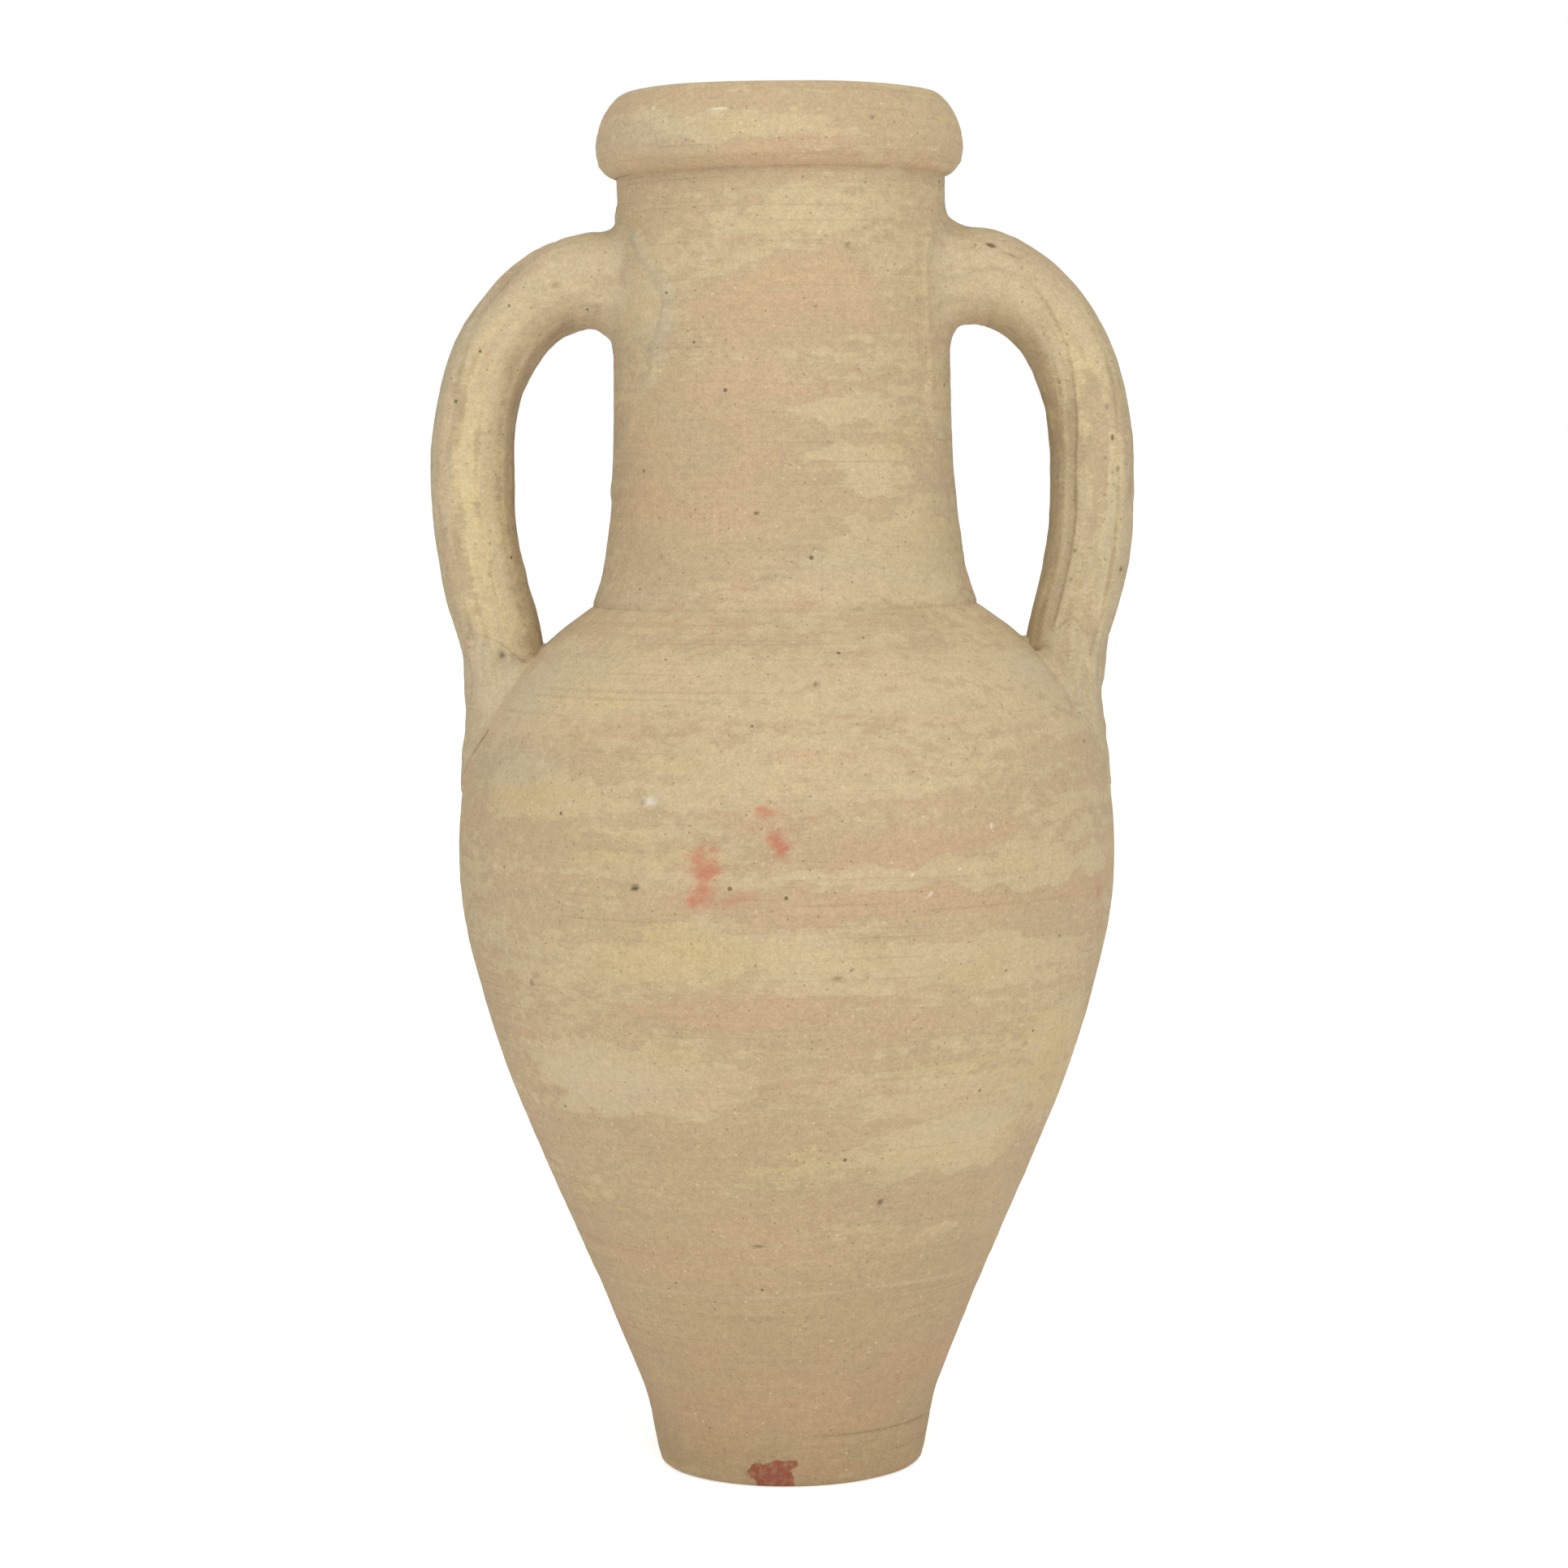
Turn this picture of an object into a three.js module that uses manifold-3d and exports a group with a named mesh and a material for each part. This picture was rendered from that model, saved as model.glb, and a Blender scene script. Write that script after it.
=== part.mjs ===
// A wheel-thrown earthenware amphora, in the pieces a potter makes and lutes together:
// thrown wall sections, a floor disc, a rolled rim collar, and two pulled handles with
// the clay that is wiped round each end of them.
// Millimetres, +Z up. The origin is the centre of the flat base, and the handles lie along X.
import * as THREE from "three";
import { mergeVertices } from "three/addons/utils/BufferGeometryUtils.js";
import Module from "manifold-3d";

const wasm = await Module();
wasm.setup();

// ---------------------------------------------------------------- driving dimensions

const HEIGHT = 560;
const BELLY_RADIUS = 133.9;
const BELLY_HEIGHT = 254.5; // where the wall is widest
const FOOT_RADIUS = 54;
const NECK_RADIUS = 67.7; // at the waist of the neck
const MOUTH_RADIUS = 57; // inside
const WALL = 9; // thrown wall, measured square to it
const FLOOR = 13;
const GAP = 0.3; // the slip layer between two luted pieces

// Heights of the luted joints, read on the outside of the wall.
const FOOT_JOINT = 30;
const LOWER_JOINT = 82;
const BELLY_JOINT = 250;
const SHOULDER_JOINT = 353.5;
const RIM_UNDERSIDE = 526.3;
const RIM_LAP = 541.5; // the collar laps down over the neck from here
const SCARF = 6; // each joint slants up by this much towards the inside

// The handles: a pulled strap, the same on each side.
const STRAP_THICK = 33.5; // in the plane of the handles
const STRAP_WIDE = 39; // along Y
const GROOVE_DEPTH = 1.6; // two finger grooves along the strap's outer face
const HANDLE_TOP = 486.7; // height of the strap's centre line where it leaves the neck
const HEEL_RADIUS = 114; // distance of the strap's centre line from the axis as it meets the shoulder

const TURN_STEPS = 48;
const STRAP_STEPS = 28;
const STRAP_SIDES = 22;

// ---------------------------------------------------------------- the thrown wall

// A smooth outline through a few [radius, height] stations, as a function of height.
function outline(stations) {
  const curve = new THREE.SplineCurve(stations.map(([r, z]) => new THREE.Vector2(r, z)));
  const fine = curve.getPoints(stations.length * 24);
  return (z) => {
    const above = fine.findIndex((p) => p.y >= z);
    if (above < 0) return fine[fine.length - 1].x;
    if (above === 0) return fine[0].x;
    const low = fine[above - 1];
    const high = fine[above];
    return THREE.MathUtils.mapLinear(z, low.y, high.y, low.x, high.x);
  };
}

const bodyOutside = outline([
  [FOOT_RADIUS, 3],
  [FOOT_RADIUS + 1.4, 9],
  [59.7, FOOT_JOINT],
  [68.3, 52],
  [79.6, 80],
  [102.8, 134],
  [118.2, 174],
  [129.4, 214.5],
  [BELLY_RADIUS - 0.6, 237.5],
  [BELLY_RADIUS, BELLY_HEIGHT],
  [BELLY_RADIUS - 0.7, 270.5],
  [130.9, 286.7],
  [126.4, 299.2],
  [119.8, 311.1],
  [111.8, 322.6],
  [103.2, 333],
  [94.3, 341.5],
  [86, 348.5],
  [78.4, SHOULDER_JOINT],
]);

const neckOutside = outline([
  [78.4, SHOULDER_JOINT],
  [75.3, 361],
  [73.3, 371],
  [70.9, 388],
  [68.6, 407],
  [NECK_RADIUS, 430.5],
  [NECK_RADIUS - 0.4, 462],
  [NECK_RADIUS - 1.6, 501.5],
  [NECK_RADIUS - 1.4, RIM_UNDERSIDE - 1],
  [NECK_RADIUS - 1.4, RIM_LAP],
]);

const inside = outline([
  [43.2, FLOOR - 1],
  [46, 21.5],
  [50.4, 35],
  [58.2, 52],
  [69.7, 80],
  [93, 134],
  [109, 174],
  [120.4, 214.5],
  [BELLY_RADIUS - WALL, BELLY_HEIGHT],
  [121.9, 286.7],
  [111.4, 309.5],
  [95.8, 330.2],
  [81, 344.2],
  [71, 354],
  [66.1, 362.4],
  [63.1, 377.3],
  [60.1, 403],
  [NECK_RADIUS - WALL, 430.5],
  [MOUTH_RADIUS + 1, 501.5],
  [MOUTH_RADIUS, RIM_LAP + SCARF],
]);

const outside = (z) => (z < SHOULDER_JOINT ? bodyOutside(z) : neckOutside(z));

// Heights from one level to another, in even steps no longer than about the given length.
function levels(from, to, step) {
  const count = Math.max(1, Math.round(Math.abs(to - from) / step));
  return Array.from({ length: count + 1 }, (_, i) => from + ((to - from) * i) / count);
}

// Revolves a closed [radius, height] profile about Z.
function turned(profile) {
  const points = [...profile, profile[0]].map(([r, z]) => new THREE.Vector2(r, z));
  return new THREE.LatheGeometry(points, TURN_STEPS).rotateX(Math.PI / 2);
}

// Revolves a profile that starts and ends on the axis.
function turnedFromAxis(profile) {
  const points = profile.map(([r, z]) => new THREE.Vector2(r, z));
  return new THREE.LatheGeometry(points, TURN_STEPS).rotateX(Math.PI / 2);
}

// A ring of the wall between two joints. Both edges slant up towards the inside.
function wallRing(from, to, step) {
  const outer = levels(from + GAP / 2, to - GAP / 2, step);
  const inner = outer.map((z) => z + SCARF).reverse();
  return turned([
    ...outer.map((z) => [outside(z), z]),
    ...inner.map((z) => [inside(z), z]),
  ]);
}

function floorDisc() {
  const edge = inside(FLOOR) - GAP;
  return turnedFromAxis([
    [0, 0],
    [edge - 3, 0],
    [edge, FLOOR],
    [0, FLOOR],
  ]);
}

function footRing() {
  const edge = inside(FLOOR);
  const top = FOOT_JOINT - GAP / 2;
  const inner = levels(top + SCARF, FLOOR, 5);
  return turned([
    [edge - 3, 0],
    [FOOT_RADIUS - 3, 0],
    [FOOT_RADIUS - 0.9, 0.9],
    ...levels(3, top, 7).map((z) => [outside(z), z]),
    ...inner.map((z) => [inside(z), z]),
  ]);
}

// The neck is a plain ring up to the rim, where its top stands square inside the collar.
function neckRing() {
  const outer = levels(SHOULDER_JOINT + GAP / 2, RIM_LAP - GAP, 15);
  const inner = levels(RIM_LAP - GAP, SHOULDER_JOINT + GAP / 2 + SCARF, 15);
  return turned([
    ...outer.map((z) => [outside(z), z]),
    ...inner.map((z) => [inside(z), z]),
  ]);
}

// The lip, rolled outwards and down over the top of the neck.
function rimCollar() {
  const lap = outside(RIM_UNDERSIDE) + GAP;
  const roll = new THREE.SplineCurve(
    [
      [70.2, 528],
      [73.4, 532],
      [74.5, 538],
      [73.7, 544.4],
      [71.8, 550.2],
      [68.5, 555.7],
      [65.6, 558.9],
    ].map(([r, z]) => new THREE.Vector2(r, z)),
  ).getPoints(8);
  return turned([
    [lap, RIM_UNDERSIDE],
    ...roll.map((p) => [p.x, p.y]),
    [63.6, HEIGHT],
    [60, HEIGHT],
    [58.2, HEIGHT - 1.4],
    [57.4, HEIGHT - 4.5],
    [MOUTH_RADIUS, RIM_LAP],
    [lap, RIM_LAP],
  ]);
}

// A bead of clay pressed into the inside of the joint between neck and shoulder.
function jointCoil() {
  const LOW = SHOULDER_JOINT - 4;
  const HIGH = SHOULDER_JOINT + 11;
  const BULGE = 4.5;
  const steps = levels(0, 1, 1 / 6);
  const onWall = (t) => {
    const z = THREE.MathUtils.lerp(LOW, HIGH, t);
    const slope = inside(z + 0.5) - inside(z - 0.5);
    const square = new THREE.Vector2(-1, slope).normalize();
    return { at: new THREE.Vector2(inside(z), z), square };
  };
  const offset = (t, distance) => {
    const { at, square } = onWall(t);
    const p = at.clone().addScaledVector(square, distance);
    return [p.x, p.y];
  };
  const back = steps.map((t) => offset(t, GAP * 1.5));
  const face = steps
    .slice(1, -1)
    .reverse()
    .map((t) => offset(t, GAP * 1.5 + BULGE * Math.sin(Math.PI * t)));
  return turned([...back, ...face]);
}

// ---------------------------------------------------------------- booleans

// A closed three.js geometry as a manifold-3d solid.
function solid(geometry) {
  const bare = geometry.index ? geometry.toNonIndexed() : geometry.clone();
  for (const name of Object.keys(bare.attributes)) {
    if (name !== "position") bare.deleteAttribute(name);
  }
  const merged = mergeVertices(bare, 1e-3);
  const mesh = new wasm.Mesh({
    numProp: 3,
    vertProperties: merged.attributes.position.array,
    triVerts: new Uint32Array(merged.index.array),
  });
  return new wasm.Manifold(mesh);
}

// A manifold-3d solid as a three.js geometry. Slivers left by a cut are dropped.
function geometryOf(made) {
  const largest = made.decompose().sort((a, b) => b.volume() - a.volume())[0];
  const mesh = largest.getMesh();
  const geometry = new THREE.BufferGeometry();
  geometry.setAttribute("position", new THREE.BufferAttribute(mesh.vertProperties, 3));
  geometry.setIndex(new THREE.BufferAttribute(mesh.triVerts, 1));
  const flat = geometry.toNonIndexed();
  flat.computeVertexNormals();
  return flat;
}

// ---------------------------------------------------------------- the handles

// The strap's section: a rounded rectangle with two finger grooves on its outer face,
// grown by the clearance that a neighbour needs. Its x runs across the strap, and its
// outer face is at negative y, because the path's frame turns that way.
function strapSection(grow) {
  const SQUARENESS = 2.4; // 2 is an ellipse, and more is squarer
  const GROOVE_AT = [1, -1]; // radians from the middle of the outer face
  const GROOVE_SPREAD = 0.25;
  const points = Array.from({ length: STRAP_SIDES }, (_, i) => {
    const a = (i / STRAP_SIDES) * 2 * Math.PI;
    const c = Math.cos(a);
    const s = Math.sin(a);
    const reach = (Math.abs(c) ** SQUARENESS + Math.abs(s) ** SQUARENESS) ** (-1 / SQUARENESS);
    const fromOuter = Math.atan2(s, c);
    const groove = GROOVE_AT.reduce(
      (sum, at) => sum + GROOVE_DEPTH * Math.exp(-(((fromOuter - at) / GROOVE_SPREAD) ** 2)),
      0,
    );
    const halfThick = STRAP_THICK / 2 - groove + grow;
    const halfWide = STRAP_WIDE / 2 - groove + grow;
    return new THREE.Vector2(halfWide * reach * s, -halfThick * reach * c);
  });
  return new THREE.Shape(points);
}

// The strap's centre line on the +X side, from inside the neck to inside the shoulder.
const strapPath = new THREE.CatmullRomCurve3(
  [
    [55, HANDLE_TOP - 1],
    [69, HANDLE_TOP],
    [83, HANDLE_TOP - 1.6],
    [95.3, HANDLE_TOP - 7],
    [105.9, HANDLE_TOP - 15.7],
    [114.9, HANDLE_TOP - 28],
    [122.1, HANDLE_TOP - 45.2],
    [125.8, HANDLE_TOP - 65],
    [126.4, HANDLE_TOP - 84.7],
    [125, HANDLE_TOP - 107.5],
    [121.5, HANDLE_TOP - 126.3],
    [116.9, HANDLE_TOP - 142.2],
    [HEEL_RADIUS, 328.6],
    [HEEL_RADIUS, 308.6],
    [HEEL_RADIUS + 1.8, 288.6],
    [HEEL_RADIUS + 3.2, 269.6],
  ].map(([x, z]) => new THREE.Vector3(x, 0, z)),
  false,
  "centripetal",
);

function strap(grow) {
  return new THREE.ExtrudeGeometry(strapSection(grow), {
    steps: STRAP_STEPS,
    bevelEnabled: false,
    extrudePath: strapPath,
  });
}

// Everything inside the outer surface of the vessel, grown by the slip layer.
function vesselCore() {
  const body = levels(200, SHOULDER_JOINT, 8).map((z) => [bodyOutside(z) + GAP * 1.3, z]);
  const neck = levels(SHOULDER_JOINT + 2, RIM_UNDERSIDE - 2, 9);
  return turnedFromAxis([
    [0, 200],
    ...body,
    ...neck.map((z) => [neckOutside(z) + GAP, z]),
    [0, RIM_UNDERSIDE - 2],
  ]);
}

// The half-space below the slanting line where the pulled strap ends on its heel.
function belowStrapEnd(shift) {
  const SLANT = THREE.MathUtils.degToRad(-37);
  const box = new THREE.BoxGeometry(200, 120, 200).translate(0, 0, -100 + shift);
  return box.rotateY(SLANT).translate(HEEL_RADIUS, 0, 337);
}

// The wad wiped round the top of the strap, an oval cone with its wide end on the neck.
function rootCone() {
  const NEAR = 83; // distance of its narrow end from the axis
  const DEEP = 50;
  const WIDE_END = 42; // half width on the neck
  const NARROW_END = 20.5;
  const HEIGHT_SHARE = 0.74; // the oval is lower than it is wide
  const cone = new THREE.CylinderGeometry(NARROW_END, WIDE_END, NEAR - DEEP, 36);
  cone.rotateZ(-Math.PI / 2).scale(1, 1, HEIGHT_SHARE);
  return cone.translate((NEAR + DEEP) / 2, 0, HANDLE_TOP - 4.5);
}

const core = solid(vesselCore());
const plainStrap = solid(strap(0)).subtract(core);
const clearStrap = solid(strap(GAP * 1.3));
const outerSide = solid(new THREE.BoxGeometry(200, 120, 120)).translate([100, 0, HANDLE_TOP]);

const handleGeometry = geometryOf(plainStrap.subtract(solid(belowStrapEnd(GAP))));
const heelGeometry = geometryOf(plainStrap.intersect(solid(belowStrapEnd(0))));
const rootGeometry = geometryOf(
  solid(rootCone()).intersect(outerSide).subtract(core).subtract(clearStrap),
);

// ---------------------------------------------------------------- the assembly

const clay = {
  wall: { color: 0xcdb48f, roughness: 0.93, metalness: 0 },
  inner: { color: 0xbd9f7c, roughness: 0.96, metalness: 0 },
  handle: { color: 0xcfb990, roughness: 0.9, metalness: 0 },
  slip: { color: 0xc3b294, roughness: 0.95, metalness: 0 },
};

const amphora = new THREE.Group();

function add(name, geometry, finish, parent = amphora) {
  const mesh = new THREE.Mesh(geometry, new THREE.MeshStandardMaterial(finish));
  mesh.name = name;
  parent.add(mesh);
}

add("base_floor", floorDisc(), clay.inner);
add("foot_ring", footRing(), clay.wall);
add("lower_body", wallRing(FOOT_JOINT, LOWER_JOINT, 13), clay.wall);
add("middle_body", wallRing(LOWER_JOINT, BELLY_JOINT, 17), clay.wall);
add("shoulder", wallRing(BELLY_JOINT, SHOULDER_JOINT, 10.5), clay.wall);
add("neck_joint_coil", jointCoil(), clay.inner);
add("neck", neckRing(), clay.wall);
add("rim_collar", rimCollar(), clay.wall);

// The right-hand set lies on +X, and the left-hand set is the same turned half way round.
for (const [side, turn] of [
  ["right", 0],
  ["left", Math.PI],
]) {
  const set = new THREE.Group();
  set.rotation.z = turn;
  add(`${side}_handle`, handleGeometry, clay.handle, set);
  add(`${side}_handle_root_wad`, rootGeometry, clay.slip, set);
  add(`${side}_handle_heel_wad`, heelGeometry, clay.slip, set);
  amphora.add(set);
}

export default amphora;
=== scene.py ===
# %% [markdown]
# # A wheel-thrown amphora
# This notebook dresses a plain CAD amphora as the fired clay pot that it stands for.
# The CAD gives every size: its rings, handles and joints are measured here, and each new
# piece is a surface worked out with numpy, in metres, with +Z up and the front towards -Y.

# %% The frame, and how its points are read
import math

import bpy
import numpy as np
from mathutils import Euler, Matrix, Vector


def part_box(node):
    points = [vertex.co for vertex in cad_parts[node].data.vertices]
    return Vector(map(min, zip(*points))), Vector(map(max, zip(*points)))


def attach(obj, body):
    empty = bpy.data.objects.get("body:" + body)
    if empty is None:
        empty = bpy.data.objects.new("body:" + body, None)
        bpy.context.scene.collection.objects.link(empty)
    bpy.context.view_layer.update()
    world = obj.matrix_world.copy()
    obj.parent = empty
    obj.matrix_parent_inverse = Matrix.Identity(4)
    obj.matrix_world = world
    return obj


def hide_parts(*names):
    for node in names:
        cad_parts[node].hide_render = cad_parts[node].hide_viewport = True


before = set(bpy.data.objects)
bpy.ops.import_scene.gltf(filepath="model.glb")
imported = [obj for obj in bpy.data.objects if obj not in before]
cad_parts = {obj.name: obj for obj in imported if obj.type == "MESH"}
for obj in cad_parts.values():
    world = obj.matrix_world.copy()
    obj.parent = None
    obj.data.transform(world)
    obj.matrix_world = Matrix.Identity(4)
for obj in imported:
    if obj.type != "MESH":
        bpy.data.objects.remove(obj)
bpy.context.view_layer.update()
MM = 0.001


def cad_points(node):
    """All the corners of a CAD node, one row each."""
    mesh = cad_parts[node].data
    flat = np.empty(len(mesh.vertices) * 3)
    mesh.vertices.foreach_get("co", flat)
    return flat.reshape(-1, 3)


# %% [markdown]
# ## Measuring the turned wall
# A CAD ring has only a few dozen flat bands. A thrown wall is smooth, so the bands'
# corners serve as stations, and a cubic is passed through them. Reading the stations
# from the frame, and not typing them again, keeps the looks on the CAD's sizes.


# %% Stations of a ring, and a smooth line through stations
def ring_stations(node):
    """The [radius, height] stations of a turned ring, the outer ones and the inner ones.

    A face is an outer one when its normal points away from the axis, and an inner one when
    it points back to it. A slanting joint is neither: it reaches the ring's top on the
    outer side, or its bottom on the inner side, and lies rather flat.
    """
    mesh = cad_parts[node].data
    normals, centres = np.empty(3 * len(mesh.polygons)), np.empty(3 * len(mesh.polygons))
    mesh.polygons.foreach_get("normal", normals)
    mesh.polygons.foreach_get("center", centres)
    normals, centres = normals.reshape(-1, 3), centres.reshape(-1, 3)
    reach = np.hypot(centres[:, 0], centres[:, 1])
    outward = (normals[:, :2] * centres[:, :2]).sum(axis=1) / np.maximum(reach, 1e-6)
    corners = np.empty(len(mesh.loops), int)
    mesh.loops.foreach_get("vertex_index", corners)
    points = cad_points(node)[corners.reshape(-1, 3)]
    rows = np.stack([np.hypot(points[..., 0], points[..., 1]), points[..., 2]], axis=-1)
    z = points[..., 2]
    at_end = {1: z.max(axis=1) > z.max() - 0.5 * MM, -1: z.min(axis=1) < z.min() + 0.5 * MM}
    flat = np.abs(normals[:, 2])
    found = []
    for sign in (1, -1):
        keep = (sign * outward > 0) & (flat < 0.9) & ~(at_end[sign] & (flat > 0.6))
        found.append(rows[keep].reshape(-1, 2))
    return [np.unique(np.round(part, 5), axis=0) for part in found]


def in_order(stations, spacing=1 * MM):
    """Stations from several rings sorted by height, without those closer than the spacing."""
    rows = np.vstack(stations)
    rows = rows[np.argsort(rows[:, 1])]
    keep = np.r_[True, np.diff(rows[:, 1]) > spacing]
    return rows[keep]


def smooth_through(at, stations, values):
    """A cubic between each two stations, whose slope at a station is that across its neighbours."""
    slope = np.gradient(values, stations, axis=0)
    i = np.clip(np.searchsorted(stations, at, side="right") - 1, 0, len(stations) - 2)
    step = stations[i + 1] - stations[i]
    t = (at - stations[i]) / step
    if np.ndim(values) > 1:
        t, step = t[..., None], step[..., None]
    start = values[i] * (1 + 2 * t) * (1 - t) ** 2 + slope[i] * step * t * (1 - t) ** 2
    end = values[i + 1] * t**2 * (3 - 2 * t) + slope[i + 1] * step * t**2 * (t - 1)
    return start + end


BODY_RINGS = ["foot_ring", "lower_body", "middle_body", "shoulder"]
FLOOR_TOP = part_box("base_floor")[1].z
SLIP_GAP = 0.15 * MM  # half of the layer that the CAD leaves between two rings
FOOT_JOINT, LOWER_JOINT, BELLY_JOINT, SEAM = (
    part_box(node)[0].z - SLIP_GAP for node in ["lower_body", "middle_body", "shoulder", "neck"]
)
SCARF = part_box("foot_ring")[1].z - FOOT_JOINT + SLIP_GAP
RIM_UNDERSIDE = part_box("rim_collar")[0].z

body_stations = in_order([ring_stations(node)[0] for node in BODY_RINGS])
neck_stations = in_order([ring_stations("neck")[0]])
inner_stations = in_order([ring_stations(node)[1] for node in [*BODY_RINGS, "neck"]])
inner_stations = inner_stations[inner_stations[:, 1] > FLOOR_TOP - 1 * MM]


def outside(z):
    """The outer radius at a height: the body's line below the neck's seam, the neck's above."""
    body = smooth_through(np.minimum(z, SEAM), body_stations[:, 1], body_stations[:, 0])
    neck = smooth_through(np.maximum(z, SEAM), neck_stations[:, 1], neck_stations[:, 0])
    return np.where(z < SEAM, body, neck)


def inside(z):
    """The inner radius at a height."""
    z = np.clip(z, inner_stations[0, 1], inner_stations[-1, 1])
    return smooth_through(z, inner_stations[:, 1], inner_stations[:, 0])


print("outer stations:", len(body_stations), "+", len(neck_stations), "inner:", len(inner_stations))
print("widest:", round(float(body_stations[:, 0].max()), 4), "joints:", FOOT_JOINT, SEAM)

# %% [markdown]
# ## Randomness that repeats
# Hand-made clay is never regular. A sum of plane waves with random directions is smooth,
# has no seam anywhere in space, and comes out the same on every run because it is seeded.
# Different lengths along X, Y and Z turn round lumps into the level streaks of a wheel.


# %% Random fields, places on the wall and small marks
def rumple(points, lengths, seed, waves=36):
    """A smooth random field with mean 0 and spread 1, its waves about as long as given.

    It is the sum of cosines, each along a random direction with a random start.
    """
    rng = np.random.default_rng(seed)
    turns = rng.normal(size=(waves, 3)) / np.asarray(lengths) * 0.62
    starts = rng.uniform(0, 2 * math.pi, waves)
    total = np.zeros(points.shape[:-1])
    for turn, start in zip(turns, starts):
        total += np.cos(2 * math.pi * (points @ turn) + start)
    return total * math.sqrt(2 / waves)


def ease(value, low, high):
    """0 below the low value, 1 above the high one, and a smooth step between them."""
    t = np.clip((value - low) / (high - low), 0, 1)
    return t * t * (3 - 2 * t)


def from_axis(points):
    """The distance of points from the pot's axis."""
    return np.hypot(points[..., 0], points[..., 1])


def bell(value, middle, half):
    """1 at the middle, and near 0 beyond the half width: e to the minus square of how far off."""
    return np.exp(-(((value - middle) / half) ** 2))


def half_turns(degrees):
    """An angle brought to between minus and plus half a turn."""
    return (degrees + 180) % 360 - 180


def angle_round(points):
    """The angle round the pot in degrees: 0 at the front, and 90 at the right-hand handle."""
    return np.degrees(np.arctan2(points[..., 0], -points[..., 1]))


def spot(points, angle, height, half_long, half_tall, power=2):
    """1 at a place on the wall, and near 0 beyond the half length round it and half height.

    Two is the power of a soft round spot. A higher one makes a flat patch with a clear edge.
    """
    turn = half_turns(angle_round(points) - angle)
    along = np.radians(turn) * from_axis(points)
    up = points[..., 2] - height * MM
    reach = (along / (half_long * MM)) ** 2 + (up / (half_tall * MM)) ** 2
    return np.exp(-(reach ** (power / 2)))


def many_spots(points, rows, power=2):
    """The sum of spots, each given as angle, height, half length, half height and strength."""
    total = np.zeros(points.shape[:-1])
    for *place, strength in rows:
        total += strength * spot(points, *place, power=power)
    return total


def on_wall(angle, height):
    """The point of the outer wall at an angle in degrees and a height in millimetres."""
    turn = math.radians(angle)
    radius = float(outside(np.array([height * MM]))[0])
    return np.array([radius * math.sin(turn), -radius * math.cos(turn), height * MM])


def scratch(points, start, end, half_width):
    """1 on the straight line between two points, and near 0 beyond the half width from it."""
    line = end - start
    t = np.clip((points - start) @ line / (line @ line), 0, 1)
    away = np.linalg.norm(points - start - t[..., None] * line, axis=-1)
    return bell(away, 0, half_width * MM)


# %% [markdown]
# ## The marks of making, as relief
# The wheel leaves a shallow spiral, wiping leaves level streaks, and a joint leaves a
# line. Slip lies on the clay as a thin skin with a ragged edge. Lime grains burst out as
# small round chips. All of it is one field over the whole wall, so that two neighbouring
# rings meet without a step.

# %% Where the marks are
# Each row: angle round the pot, height, half length, half height, strength.
PITS = [  # strength is the depth in millimetres
    (-22.6, 283.6, 2.6, 2.2, 0.7),  # a lime grain that burst, upper left
    (-24.6, 282.6, 1.5, 1.4, 0.9),
    (-25.7, 250.2, 1.9, 1.5, 1.5),
    (6.2, 326.6, 2.0, 1.6, 0.7),
    (20.9, 122.8, 1.8, 1.3, 1.1),
    (-51.1, 209.2, 1.7, 1.5, 0.8),
    (8.2, 215.3, 3.6, 2.0, 0.5),
    (10.5, 218.5, 1.3, 1.2, 0.7),
    (-8.7, 391.6, 1.4, 1.2, 0.9),
    (23.2, 496.1, 1.6, 1.4, 0.8),
    (11.3, 471.9, 1.4, 1.2, 0.6),
    (39.0, 246.0, 1.5, 1.2, 0.5),
    (-8.2, 105.5, 4.4, 0.8, 0.6),
    (5.0, 105.0, 2.2, 0.7, 0.4),
    (-60.0, 209.0, 1.3, 1.3, 0.6),
    (150.0, 288.0, 2.4, 2.2, 1.0),
    (-158.0, 236.0, 1.8, 1.6, 1.2),
    (128.0, 190.0, 1.6, 1.6, 0.9),
    (-128.0, 318.0, 1.7, 1.5, 0.8),
    (172.0, 412.0, 1.6, 1.4, 0.9),
    (-140.0, 466.0, 1.4, 1.3, 0.8),
    (165.0, 120.0, 2.0, 1.2, 1.0),
    (30.0, 545.0, 2.2, 0.9, 0.9),
    (-7.5, 530.5, 1.2, 1.0, 0.6),
    (23.5, 533.5, 1.1, 1.0, 0.6),
]
DENTS = [
    (-48.0, 122.0, 8, 7, 0.25),
    (30.0, 170.0, 22, 9, 0.3),
    (-30.0, 268.0, 26, 12, 0.25),
    (118.0, 230.0, 30, 14, 0.35),
    (-150.0, 160.0, 24, 12, 0.35),
    (60.0, 236.0, 8, 16, 0.35),
    (-14.0, 395.0, 30, 8, 0.2),
]
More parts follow.
